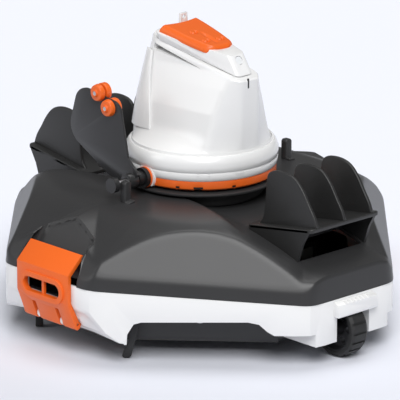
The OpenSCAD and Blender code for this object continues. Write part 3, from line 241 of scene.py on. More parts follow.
class Shop:
    """Small wrappers round the modelling operators."""

    @staticmethod
    def only(piece: bpy.types.Object) -> None:
        """Select one object alone and make it active."""
        if bpy.context.object and bpy.context.object.mode != "OBJECT":
            bpy.ops.object.mode_set(mode="OBJECT")
        bpy.ops.object.select_all(action="DESELECT")
        piece.select_set(True)
        bpy.context.view_layer.objects.active = piece

    @staticmethod
    def copy_node(node: str, name: str) -> bpy.types.Object:
        """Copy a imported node's shape into a new, merged piece.

        Args:
            node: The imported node.
            name: The new piece's name.

        Returns:
            The new piece, its place in its mesh.
        """
        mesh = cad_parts[node].data.copy()
        mesh.name = name
        mesh.materials.clear()
        piece = bpy.data.objects.new(name, mesh)
        bpy.context.scene.collection.objects.link(piece)
        Shop.only(piece)
        bpy.ops.object.mode_set(mode="EDIT")
        bpy.ops.mesh.select_all(action="SELECT")
        bpy.ops.mesh.remove_doubles(threshold=0.00001)
        bpy.ops.mesh.dissolve_limited(angle_limit=math.radians(0.5))
        bpy.ops.object.mode_set(mode="OBJECT")
        return piece

    @staticmethod
    def round_edges(piece: bpy.types.Object, width_mm: float, segments: int = 2, angle: float = 32) -> None:
        """Round the sharp edges of a piece and smooth its shading.

        Args:
            piece: The piece to finish.
            width_mm: Radius of the rounding.
            segments: Steps across the rounding.
            angle: Edges sharper than this many degrees are rounded.
        """
        Shop.bevel(piece, width_mm, segments, angle, "MITER_ARC")
        bpy.ops.object.shade_smooth_by_angle(angle=math.radians(34))

    @staticmethod
    def from_faces(name: str, points: Sequence[Point], faces: Sequence[Sequence[int]]) -> bpy.types.Object:
        """Make a piece from points in metres and faces, its normals turned outward."""
        mesh = bpy.data.meshes.new(name)
        mesh.from_pydata(points, [], faces)
        piece = bpy.data.objects.new(name, mesh)
        bpy.context.scene.collection.objects.link(piece)
        Shop.only(piece)
        bpy.ops.object.mode_set(mode="EDIT")
        bpy.ops.mesh.select_all(action="SELECT")
        bpy.ops.mesh.normals_make_consistent(inside=False)
        bpy.ops.object.mode_set(mode="OBJECT")
        return piece

    @staticmethod
    def loft(name: str, rings: Sequence[Sequence[Point]]) -> bpy.types.Object:
        """Join outlines of equal length, in millimetres, into a solid that is closed at both ends."""
        count = len(rings[0])
        points = [(x * MM, y * MM, z * MM) for ring in rings for x, y, z in ring]
        faces = [tuple(range(count)), tuple(range(len(points) - count, len(points)))]
        for low in range(0, len(points) - count, count):
            for k in range(count):
                m = (k + 1) % count
                faces.append((low + k, low + m, low + count + m, low + count + k))
        return Shop.from_faces(name, points, faces)

    @staticmethod
    def turned(name: str, profile: Sequence[Pair], steps: int, x_mm: float) -> bpy.types.Object:
        """Turn a closed profile of radius and height, in millimetres, round an upright axis.

        Args:
            name: The piece's name.
            profile: Radius and height of each corner.
            steps: Flats round the axis.
            x_mm: Where the axis stands along X.

        Returns:
            The closed ring.
        """
        count = len(profile)
        points = []
        for i in range(steps):
            angle = math.tau * i / steps
            for r, z in profile:
                points.append(((x_mm + r * math.cos(angle)) * MM, r * math.sin(angle) * MM, z * MM))
        faces = []
        for i in range(steps):
            for k in range(count):
                j, m = (i + 1) % steps, (k + 1) % count
                faces.append((i * count + k, j * count + k, j * count + m, i * count + m))
        piece = Shop.from_faces(name, points, faces)
        bpy.ops.object.shade_smooth_by_angle(angle=math.radians(40))
        return piece

    @staticmethod
    def box(name: str, middle: Point, size: Point, radius: float) -> bpy.types.Object:
        """A rounded block in millimetres, for cutting."""
        x, y, z = (v / 2 for v in size)
        points = [
            ((middle[0] + a * x) * MM, (middle[1] + b * y) * MM, (middle[2] + c * z) * MM)
            for a in (-1, 1) for b in (-1, 1) for c in (-1, 1)
        ]
        faces = [(0, 1, 3, 2), (4, 5, 7, 6), (0, 1, 5, 4), (2, 3, 7, 6), (0, 2, 6, 4), (1, 3, 7, 5)]
        piece = Shop.from_faces(name, points, faces)
        Shop.bevel(piece, radius, 3, 20)
        return piece

    @staticmethod
    def round_bar(name: str, radius: float, length: float, middle: Point, steps: int = 96) -> bpy.types.Object:
        """A round bar along X, in millimetres, for cutting."""
        x, y, z = middle
        turns = [math.tau * i / steps for i in range(steps)]
        return Shop.loft(name, [
            [(x + along, y + radius * math.cos(a), z + radius * math.sin(a)) for a in turns]
            for along in (-length / 2, length / 2)
        ])

    @staticmethod
    def smooth_line(keys: Sequence[Pair], steps: int) -> List[Pair]:
        """A smooth open line through key points."""
        padded = [keys[0], *keys, keys[-1]]
        line = []
        for a, b, c, d in zip(padded, padded[1:], padded[2:], padded[3:]):
            for i in range(steps):
                t = i / steps
                line.append(tuple(
                    0.5 * (2 * q + (r - p) * t + (2 * p - 5 * q + 4 * r - s) * t ** 2
                           + (3 * q - p - 3 * r + s) * t ** 3)
                    for p, q, r, s in zip(a, b, c, d)
                ))
        return line + [keys[-1]]

    @staticmethod
    def slab(name: str, outline: Sequence[Pair], y_mm: float, thick: float) -> bpy.types.Object:
        """A flat plate in the XZ plane from its outline in millimetres."""
        return Shop.loft(name, [[(x, y_mm + s * thick / 2, z) for x, z in outline] for s in (-1, 1)])

    @staticmethod
    def bevel(piece: bpy.types.Object, width_mm: float, segments: int, angle: float,
              corners: str = "MITER_SHARP") -> None:
        """Round the edges of a piece that are sharper than an angle."""
        Shop.only(piece)
        bevel = piece.modifiers.new("round", "BEVEL")
        bevel.width = width_mm * MM
        bevel.segments = segments
        bevel.limit_method = "ANGLE"
        bevel.angle_limit = math.radians(angle)
        bevel.miter_outer = corners
        bpy.ops.object.modifier_apply(modifier=bevel.name)

    @staticmethod
    def cut(piece: bpy.types.Object, cutter: bpy.types.Object) -> None:
        """Take a cutter's room out of a piece and delete the cutter."""
        Shop.only(piece)
        hole = piece.modifiers.new("cut", "BOOLEAN")
        hole.operation = "DIFFERENCE"
        hole.object = cutter
        hole.solver = "EXACT"
        bpy.ops.object.modifier_apply(modifier=hole.name)
        bpy.data.objects.remove(cutter, do_unlink=True)

    @staticmethod
    def finish(piece: bpy.types.Object, body: str, finish: Finish, slot: str,
               nodes: Sequence[str] = ()) -> None:
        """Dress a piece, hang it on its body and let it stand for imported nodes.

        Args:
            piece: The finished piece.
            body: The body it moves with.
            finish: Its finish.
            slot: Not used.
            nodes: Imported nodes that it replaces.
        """
        Paint.dress(piece, finish)
        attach(piece, body)
        if nodes:
            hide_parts(*nodes)
        LOG.info("made %s on %s", piece.name, body)


@dataclass
class RoundedPart:
    """A rigid moulded part whose packed form is kept and whose edges are rounded."""

    node: str
    body: str
    finish: Finish
    slot: str
    radius_mm: float = 0.6
    segments: int = 2

    def build(self) -> bpy.types.Object:
        """Make the rounded part.

        Returns:
            The new piece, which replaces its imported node.
        """
        piece = Shop.copy_node(self.node, "skin_" + self.node)
        Shop.round_edges(piece, self.radius_mm, self.segments)
        Shop.finish(piece, self.body, self.finish, self.slot, [self.node])
        return piece


@dataclass
class PlainParts:
    """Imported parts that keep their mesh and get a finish."""

    finishes: Dict[str, Finish] = field(default_factory=dict)

    def dress(self) -> None:
        """Assign every finish."""
        for node, finish in self.finishes.items():
            Paint.dress_node(node, finish)
            LOG.info("dressed %s", node)


# ---------------------------------------------------------------- studio


@dataclass
class Studio:
    """Pale floor, soft light and the camera."""

    azimuth: float = 46.7
    elevation: float = 17.4
    lens_mm: float = 360.0
    distance: float = 3.827
    target: Point = (0.0, 0.0, 0.0735)
    side_offset: float = 0.00105
    up_offset: float = 0.03215
    backdrop: Colour = (0.865, 0.885, 0.965)
    floor_size: float = 60.0
    floor_drop: float = 0.0004
    # These four set the floor's painted shade: its colour is darkened towards the front left, down to a share
    # of the backdrop colour.
    painted_shade_turn: float = -35.0
    painted_shade_start: float = -0.1
    painted_shade_stop: float = 0.45
    painted_shade_share: float = 0.78
    room_low: float = 0.20
    room_high: float = 0.12
    room_top: float = 0.75
    lamps: Tuple[Tuple[str, float, float, float, float], ...] = (
        ("front_light", 4, 47, 34, 2.5), ("top_light", 150, 80, 34, 1.0), ("left_light", -80, 25, 30, 0.4),
    )

    def build_floor(self) -> None:
        """Lay the pale floor, its colour darkened a little towards the front left as painted shade."""
        bpy.ops.object.select_all(action="DESELECT")
        bpy.ops.mesh.primitive_plane_add(size=self.floor_size, location=(0, 0, -self.floor_drop))
        floor = bpy.context.object
        floor.name = "studio_floor"
        material, nodes, links, shader = new_material("studio_floor")
        place = nodes.new("ShaderNodeTexCoord")
        along = nodes.new("ShaderNodeVectorMath")
        along.operation = "DOT_PRODUCT"
        along.inputs[1].default_value = self.toward(self.azimuth + self.painted_shade_turn, 0, 1.0)
        # Painted shade: the floor's colour is scaled down along one direction on the floor instead of being
        # lit darker.
        painted_shade_ramp = nodes.new("ShaderNodeMapRange")
        painted_shade_ramp.inputs["From Min"].default_value = self.painted_shade_start
        painted_shade_ramp.inputs["From Max"].default_value = self.painted_shade_stop
        painted_shade_ramp.inputs["To Min"].default_value = 1.0
        painted_shade_ramp.inputs["To Max"].default_value = self.painted_shade_share
        shade = nodes.new("ShaderNodeVectorMath")
        shade.operation = "SCALE"
        shade.inputs[0].default_value = self.backdrop
        links.new(place.outputs["Object"], along.inputs[0])
        links.new(along.outputs["Value"], painted_shade_ramp.inputs["Value"])
        links.new(painted_shade_ramp.outputs["Result"], shade.inputs["Scale"])
        links.new(shade.outputs["Vector"], shader.inputs["Base Color"])
        shader.inputs["Roughness"].default_value = 0.9
        shader.inputs["Specular IOR Level"].default_value = 0.1
        floor.data.materials.append(material)

    def build_world(self) -> None:
        """Set a pale backdrop for the camera and a dimmer room, brighter low down, for the light."""
        world = bpy.data.worlds.new("studio_world")
        bpy.context.scene.world = world
        world.use_nodes = True
        nodes, links = world.node_tree.nodes, world.node_tree.links
        room = nodes["Background"]
        place = nodes.new("ShaderNodeTexCoord")
        split = nodes.new("ShaderNodeSeparateXYZ")
        links.new(place.outputs["Generated"], split.inputs["Vector"])
        ramp = nodes.new("ShaderNodeValToRGB")
        ramp.color_ramp.elements[0].position = 0.0
        ramp.color_ramp.elements[0].color = (*[self.room_low] * 3, 1)
        ramp.color_ramp.elements[1].position = self.room_top
        ramp.color_ramp.elements[1].color = (*[self.room_high] * 3, 1)
        links.new(split.outputs["Z"], ramp.inputs["Fac"])
        links.new(ramp.outputs["Color"], room.inputs["Color"])
        room.inputs["Strength"].default_value = 1.0
        seen = nodes.new("ShaderNodeBackground")
        seen.inputs["Color"].default_value = (*self.backdrop, 1)
        path = nodes.new("ShaderNodeLightPath")
        mix = nodes.new("ShaderNodeMixShader")
        links.new(path.outputs["Is Camera Ray"], mix.inputs[0])
        links.new(room.outputs["Background"], mix.inputs[1])
        links.new(seen.outputs["Background"], mix.inputs[2])
        links.new(mix.outputs["Shader"], nodes["World Output"].inputs["Surface"])

    def toward(self, azimuth: float, elevation: float, distance: float) -> Point:
        """A place seen from the object at an azimuth and elevation, in the camera's own terms."""
        a, e = math.radians(azimuth), math.radians(elevation)
        return (
            distance * math.sin(a) * math.cos(e),
            -distance * math.cos(a) * math.cos(e),
            distance * math.sin(e),
        )

    def add_sun(self, name: str, azimuth: float, elevation: float, spread: float, energy: float) -> None:
        """Shine one soft, even light.

        Args:
            name: The lamp's name.
            azimuth: Where it comes from, in degrees, counted as the camera's azimuth is.
            elevation: Its height over the floor in degrees.
            spread: Width of its disc in degrees.
            energy: Watts per square metre.
        """
        sun = bpy.data.lights.new(name, "SUN")
        sun.energy = energy
        sun.angle = math.radians(spread)
        holder = bpy.data.objects.new(name, sun)
        bpy.context.scene.collection.objects.link(holder)
        way = -Vector(self.toward(azimuth, elevation, 1.0))
        holder.rotation_euler = way.to_track_quat("-Z", "Y").to_euler()

    def build_lamps(self) -> None:
        """Shine the lights: a broad one over the camera, one above and a weak one from the left."""
        for name, turn, elevation, spread, energy in self.lamps:
            self.add_sun(name, self.azimuth + turn, elevation, spread, energy)

    def build_camera(self) -> None:
        """Place the camera."""
        azimuth = math.radians(self.azimuth)
        back = Vector(self.toward(self.azimuth, self.elevation, 1.0))
        right = Vector((math.cos(azimuth), math.sin(azimuth), 0.0))
        up = back.cross(right)
        place = Vector(self.target) + self.distance * back
        aim = Vector(self.target) + self.side_offset * right + self.up_offset * up
        data = bpy.data.cameras.new("camera")
        data.lens = self.lens_mm
        data.sensor_width = 36.0
        data.clip_start, data.clip_end = 0.05, 100.0
        camera = bpy.data.objects.new("camera", data)
        bpy.context.scene.collection.objects.link(camera)
        camera.location = place
        camera.rotation_euler = (aim - place).to_track_quat("-Z", "Y").to_euler()
        bpy.context.scene.camera = camera

    def build(self) -> None:
        """Set up floor, light, camera and colour handling."""
        self.build_camera()
        self.build_floor()
        self.build_world()
        self.build_lamps()
        bpy.context.scene.view_settings.view_transform = "Standard"


# ---------------------------------------------------------------- the cleaner


def soft_min(a: float, b: float, reach: float) -> float:
    """The lower of two heights, blended where they are within reach of each other."""
    return min(a, b) - max(reach - abs(a - b), 0.0) ** 2 / (4 * reach)


@dataclass
class Cover:
    """Dark lift-off cover: dome, corner facets, side slopes and end valleys over an eight-sided plan.

    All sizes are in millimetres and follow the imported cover.
    """

    # plan
    half_l: float = 207.5
    half_w: float = 194.5
    end_h: float = 54.0
    side_h: float = 58.0
    plan_power: float = 70.0
    # joint with the hull
    side_part: float = 73.0
    end_part: float = 62.0
    # dome
    dome_z: float = 130.0
    dome_drop: float = 25.0
    dome_run: float = 130.0
    ring_r: float = 71.0
    # corner facet and the arched crest over it
    facet_in: float = 3.0
    facet_h: float = 15.0
    facet_angle: float = 62.0
    crest_h: float = 58.0
    crest_mid: float = 100.0
    crest_drop: float = 27.0
    crest_run: float = 93.0
    crest_stop: float = 96.0
    crest_in: float = 24.0
    crest_rise: float = 0.5
    # slope over a latch
    side_in: float = 3.0
    side_h0: float = 10.0
    side_angle: float = 56.0
    # end, with a valley under the deck
    end_in: float = 3.5
    end_h0: float = 25.0
    end_angle: float = 21.0
    end_swell: float = 0.25
    swell_y: float = 40.0
    deck_w: float = 90.0
    valley_depth: float = 0.0012
    # blends between the forms: crest, facet, end and side, all
    blends: Tuple[float, float, float, float] = (8.0, 2.6, 6.0, 3.0)
    # wall, inner edge and window
    wall: float = 3.0
    rim_in: float = 2.2
    inner_r: float = 47.0
    window_x: float = 162.0
    window: Point = (32.0, 82.0, 60.0)
    # pocket over a latch
    pocket_w: float = 84.0
    pocket_in: float = 177.5
    pocket_out: float = 240.0
    pocket_round: float = 5.0
    liner_t: float = 1.2
    liner_gap: float = 0.4
    liner_cuts: int = 11
    # fineness of the mesh
    directions: int = 730
    least_steps: int = 24
    crowding: float = 0.1
    rows: int = 96
    under_step: int = 6

    def faces(self) -> List[Tuple[float, float, float]]:
        """Outward directions of the eight faces and their distances from the axis."""
        run, rise = self.half_w - self.end_h, self.half_l - self.side_h
        length = math.hypot(run, rise)
        nx, ny = run / length, rise / length
        corner = nx * self.side_h + ny * self.half_w
        found = [(s, 0.0, self.half_l) for s in (1, -1)] + [(0.0, s, self.half_w) for s in (1, -1)]
        return found + [(sx * nx, sy * ny, corner) for sx in (1, -1) for sy in (1, -1)]

    def reach(self, angle: float, inset: float) -> float:
        """Distance from the axis to the rounded plan, set in, in one direction."""
        c, s = math.cos(angle), math.sin(angle)
        total = sum((max(0.0, c * nx + s * ny) / (d - inset)) ** self.plan_power for nx, ny, d in self.faces())
        return total ** (-1.0 / self.plan_power)

    def parting(self, x: float) -> float:
        """Height of the joint between hull and cover."""
        drop = (self.side_part - self.end_part) * max(0.0, abs(x) - self.side_h)
        return self.side_part - drop / (self.half_l - self.side_h)

    def top(self, x: float, y: float) -> float:
        """Height of the outer surface."""
        nx, ny, corner = self.faces()[4]
        facet_slope, side_slope, end_slope = (
            math.tan(math.radians(v)) for v in (self.facet_angle, self.side_angle, self.end_angle)
        )
        dome = self.dome_z - self.dome_drop * (max(0.0, math.hypot(x, y) - self.ring_r) / self.dome_run) ** 5
        depth = corner - nx * abs(x) - ny * abs(y)
        facet = self.parting(x) + self.facet_h + (depth - self.facet_in) * facet_slope
        along = abs(ny * (abs(x) - self.side_h) - nx * (abs(y) - self.half_w) - self.crest_mid)
        arch = self.crest_drop * (min(along, self.crest_stop) / self.crest_run) ** 1.6
        crest = self.parting(x) + self.crest_h - arch + self.crest_rise * (depth - self.crest_in)
        side = self.side_part + self.side_h0 + (self.half_w - self.side_in - abs(y)) * side_slope
        end_gap = self.half_l - self.end_in - abs(x)
        valley = self.valley_depth * end_gap ** 2 * max(0.0, 1 - (y / (0.85 * self.deck_w)) ** 4)
        swell = self.end_swell * max(0.0, abs(y) - self.swell_y)
        end = self.end_part + self.end_h0 + end_gap * end_slope - valley + swell
        crest_blend, facet_blend, edge_blend, last_blend = self.blends
        high = soft_min(soft_min(dome, crest, crest_blend), facet, facet_blend)
        return soft_min(high, soft_min(side, end, edge_blend), last_blend)

    def ring(self, angle: float) -> List[Point]:
        """One section of the shell, from the rim over the top to the inner edge and back below."""
        c, s = math.cos(angle), math.sin(angle)
        outer, edge = self.reach(angle, 0.0), self.reach(angle, self.rim_in)
        rim = self.top(edge * c, edge * s)
        points = [(outer * c, outer * s, self.parting(outer * c) + 0.3)]
        points.append(((outer - 0.4) * c, (outer - 0.4) * s, self.parting(outer * c) + 2.0))
        points.append(((outer - 1.1) * c, (outer - 1.1) * s, rim - 3.4))
        points.append(((edge + 0.3) * c, (edge + 0.3) * s, rim - 0.9))
        for row in range(self.rows):
            r = edge - 0.5 + (self.inner_r - edge) * (row / (self.rows - 1)) ** 0.92
            points.append((r * c, r * s, self.top(r * c, r * s)))
        for row in range(self.rows - 1, 0, -self.under_step):
            r = edge - self.wall + (self.inner_r - edge + self.wall) * (row / (self.rows - 1)) ** 0.92
            points.append((r * c, r * s, self.top(r * c, r * s) - self.wall))
        low = outer - self.wall
        points.append((low * c, low * s, self.parting(low * c) + 0.3))
        return points

    def angles(self) -> List[float]:
        """Directions of the sections, closer together round the plan's corners."""
        corners = sorted(math.atan2(sy * y, sx * x) for sx in (1, -1) for sy in (1, -1)
                         for x, y in ((self.half_l, self.end_h), (self.side_h, self.half_w)))
        stops = corners + [corners[0] + math.tau]
        found = []
        for start, stop in zip(stops, stops[1:]):
            steps = max(self.least_steps, round(self.directions * (stop - start) / math.tau))
            for i in range(steps):
                t = i / steps
                crowd = self.crowding * math.sin(math.tau * t) * math.cos(math.pi * t)
                found.append(start + (stop - start) * (t - crowd))
        return found

    def build_shell(self) -> bpy.types.Object:
        """Loft the sections into one closed shell."""
        rings = [self.ring(angle) for angle in self.angles()]
        count, rows = len(rings), len(rings[0])
        points = [tuple(v * MM for v in p) for ring in rings for p in ring]
        quads = []
        for i in range(count):
            for k in range(rows):
                a, b = i * rows + k, i * rows + (k + 1) % rows
                c, d = ((i + 1) % count) * rows + (k + 1) % rows, ((i + 1) % count) * rows + k
                quads.append((a, d, c, b))
        return Shop.from_faces("skin_top_cover", points, quads)

    def pocket(self, side: int) -> bpy.types.Object:
        """The hollow above a latch: a straight mouth that leans back and narrows towards the dome."""
        w, back = self.pocket_w / 2, self.pocket_in
        low, bend, high = self.side_part - 20, self.side_part + 13, self.dome_z + 20
        sections = [
            (low, w, back), (bend, w, back), (bend + 6, w - 1.6, back - 4.5), (high, w - 17, back - 37),
        ]
        front = side * self.pocket_out
        cutter = Shop.loft("pocket_cutter", [
            [(-half, side * y, z), (half, side * y, z), (half, front, z), (-half, front, z)]
            for z, half, y in sections
        ])
        Shop.bevel(cutter, self.pocket_round, 5, 20)
        return cutter

    def build(self) -> None:
        """Make the cover, cut its pockets and windows and seat its neck."""
        piece = self.build_shell()
        for side in (-1, 1):
            Shop.cut(piece, self.pocket(side))
        for end in (-1, 1):
            Shop.cut(piece, Shop.box("window_cutter", (end * self.window_x, 0.0, 100.0), self.window, 3.0))
        Shop.only(piece)
        bpy.ops.object.shade_smooth_by_angle(angle=math.radians(24))
        Shop.finish(piece, "cover", Finish.COVER_DARK, "cover_dark", ["top_cover"])
        self.build_liners()
        self.build_neck()

    def build_liners(self) -> None:
        """Close the pockets with their own walls."""
        for side in (-1, 1):
            inner = self.pocket(side)
            Shop.only(inner)
            inner.name = "pocket_wall_left" if side > 0 else "pocket_wall_right"
            mesh = bmesh.new()
            mesh.from_mesh(inner.data)
            gone = [f for f in mesh.faces if not self.keeps_liner(f, side)]
            bmesh.ops.delete(mesh, geom=gone, context="FACES")
            bmesh.ops.subdivide_edges(mesh, edges=mesh.edges[:], cuts=self.liner_cuts, use_grid_fill=True)
            rim = (self.half_w - self.rim_in) * MM
            outside = [
                face for face in mesh.faces
                if all(side * v.co.y > rim or v.co.z > self.roof(v) for v in face.verts)
            ]
            bmesh.ops.delete(mesh, geom=outside, context="FACES")
            for vert in mesh.verts:
                vert.co.y = side * min(side * vert.co.y, rim)
                vert.co.z = max(min(vert.co.z, self.roof(vert)), (self.side_part + self.liner_gap) * MM)
            bmesh.ops.remove_doubles(mesh, verts=mesh.verts[:], dist=0.1 * MM)
            bmesh.ops.dissolve_degenerate(mesh, edges=mesh.edges[:], dist=0.1 * MM)
            mesh.to_mesh(inner.data)
            mesh.free()
            thick = inner.modifiers.new("wall", "SOLIDIFY")
            thick.thickness = self.liner_t * MM
            thick.offset = 1.0
            bpy.ops.object.modifier_apply(modifier=thick.name)
            bpy.ops.object.shade_smooth_by_angle(angle=math.radians(24))
            Shop.finish(inner, "cover", Finish.COVER_DARK, "cover_dark")

    def roof(self, vert: bmesh.types.BMVert) -> float:
        """Height just below the cover's outer surface over a point."""
        return (self.top(vert.co.x / MM, vert.co.y / MM) - self.liner_gap) * MM

    def keeps_liner(self, face: bmesh.types.BMFace, side: int) -> bool:
        """Whether a face of the pocket's cutter is a wall of the pocket."""
        centre = face.calc_center_median() / MM
        return side * centre.y < self.half_w + 20 and self.side_part - 12 < centre.z < self.dome_z + 12

    def build_neck(self) -> None:
        """The neck and lip under the turret."""
        profile = [
            (39.1, 116.0), (58.0, 119.0), (61.0, 123.0), (61.0, 128.5), (62.5, 131.2), (66.0, 131.8),
            (72.6, 132.2), (73.6, 132.9), (74.0, 133.8), (73.8, 134.9), (72.8, 135.6), (61.0, 135.8),
            (43.0, 138.1), (39.1, 138.1),
        ]
        piece = Shop.turned("cover_neck", profile, 192, 4.0)
        Shop.finish(piece, "cover", Finish.COVER_DARK, "cover_dark")


@dataclass(frozen=True)
class Round:
    """One corner circle of a section: distance along the turret, offset to the side and radius."""

    x: float
    y: float
    r: float

    def blend(self, other: "Round", t: float) -> "Round":
        """The circle a share t of the way to another."""
        mix = [a + (b - a) * t for a, b in ((self.x, other.x), (self.y, other.y), (self.r, other.r))]
        return Round(*mix)


@dataclass
class Cap:
    """The domed cap: hollow rear edge, tapering sides, rounded front, a groove and three finger marks."""

    x: float
    z: float = 265.0
    tilt: float = 11.5
    back: float = -36.0
    length: float = 67.0
    half_w: float = 24.5
    taper: float = 8.5
    hollow: float = 4.0
    thick: float = 7.4
    foot: float = 0.2
    side_round: float = 5.5
    back_round: float = 4.0
    front_round: float = 6.0
    groove: float = 1.5
    marks: Tuple[Pair, ...] = ((-7.0, -6.0), (13.0, -8.5), (15.0, 8.0))
    mark_depth: float = 2.2
    mark_r: float = 3.4
    mark_w: float = 0.9
    rows: int = 110
    columns: int = 80

    @staticmethod
    def ramp(value: float, low: float, high: float) -> float:
        """A smooth step from 0 to 1 between two values."""
        t = min(1.0, max(0.0, (value - low) / (high - low)))
        return t * t * (3 - 2 * t)

    def half(self, t: float) -> float:
        """Half the width at a share of the length, drawn in at both ends."""
        front = max(0.0, (t - 0.84) / 0.17) ** 2.4
        back = max(0.0, (0.05 - t) / 0.05) ** 2 * 0.35
        wide = (self.half_w - self.taper * t ** 1.9) * math.sqrt(max(0.0, 1 - front))
        return wide * math.sqrt(max(0.05, 1 - back))

    def height(self, x: float, y: float, side: float, end: float) -> float:
        """Height of the upper surface over the crown.

        Args:
            x: Place along the cap.
            y: Place across the cap.
            side: Share of the rounded side that is passed, 1 on the top.
            end: Share of a rounded end that is passed, 1 on the top.
        """
        z = self.thick * (1 - (1 - side) ** 2.2 * 0.72) * (1 - (1 - end) ** 2.2 * 0.6)
        run = self.ramp(x, -6.0, 6.0) * self.ramp(-x, -24.0, -18.0)
        z -= self.groove * math.exp(-((y + 0.02 * x) / 2.0) ** 2) * run
        for mark_x, mark_y in self.marks:
            off = (math.hypot(x - mark_x, y - mark_y) - self.mark_r) / self.mark_w
            z -= self.mark_depth * math.exp(-off ** 2) * self.ramp(x - mark_x, -3.0, 1.0)
        return z

    def place(self, row: int, column: int, upper: bool) -> Point:
        """One point of the upper or the lower surface, in metres."""
        t, s = row / self.rows, 2 * column / self.columns - 1
        half = self.half(t)
        y = s * half
        x = self.back + self.hollow * (1 - (s * 0.98) ** 2) * (1 - t) ** 2 + self.length * t
        side = min(1.0, (1 - abs(s)) * max(half, 0.5) / self.side_round)
        end = min(1.0, t * self.length / self.back_round, (1 - t) * self.length / self.front_round)
        z = self.height(x, y, side, end) if upper else self.foot
        c, sine = math.cos(math.radians(self.tilt)), math.sin(math.radians(self.tilt))
        return (self.x + x * c + z * sine) * MM, y * MM, (self.z - x * sine + z * c) * MM

    def build(self) -> None:
        """Build upper and lower surface and join them round the rim."""
        width, rows, columns = self.columns + 1, self.rows, self.columns
        layer = width * (rows + 1)
        points = [
            self.place(i, k, upper) for upper in (True, False) for i in range(rows + 1) for k in range(width)
        ]
        faces = []
        for i in range(rows):
            for k in range(columns):
                a = i * width + k
                faces.append((a, a + 1, a + width + 1, a + width))
                faces.append((a + layer, a + layer + width, a + layer + width + 1, a + layer + 1))
        rim = list(range(width)) + [i * width + columns for i in range(1, rows + 1)]
        rim += [rows * width + k for k in range(columns - 1, -1, -1)]
        rim += [i * width for i in range(rows - 1, 0, -1)]
        faces += [(a, b, b + layer, a + layer) for a, b in zip(rim, rim[1:] + rim[:1])]
        piece = Shop.from_faces("skin_top_cap", points, faces)
        bpy.ops.object.mode_set(mode="EDIT")
        bpy.ops.mesh.select_all(action="SELECT")
        bpy.ops.mesh.remove_doubles(threshold=0.00002)
        bpy.ops.mesh.normals_make_consistent(inside=False)
        bpy.ops.object.mode_set(mode="OBJECT")
        bpy.ops.object.shade_smooth_by_angle(angle=math.radians(50))
        Shop.finish(piece, "turret", Finish.ORANGE, "accent_orange", ["top_cap"])


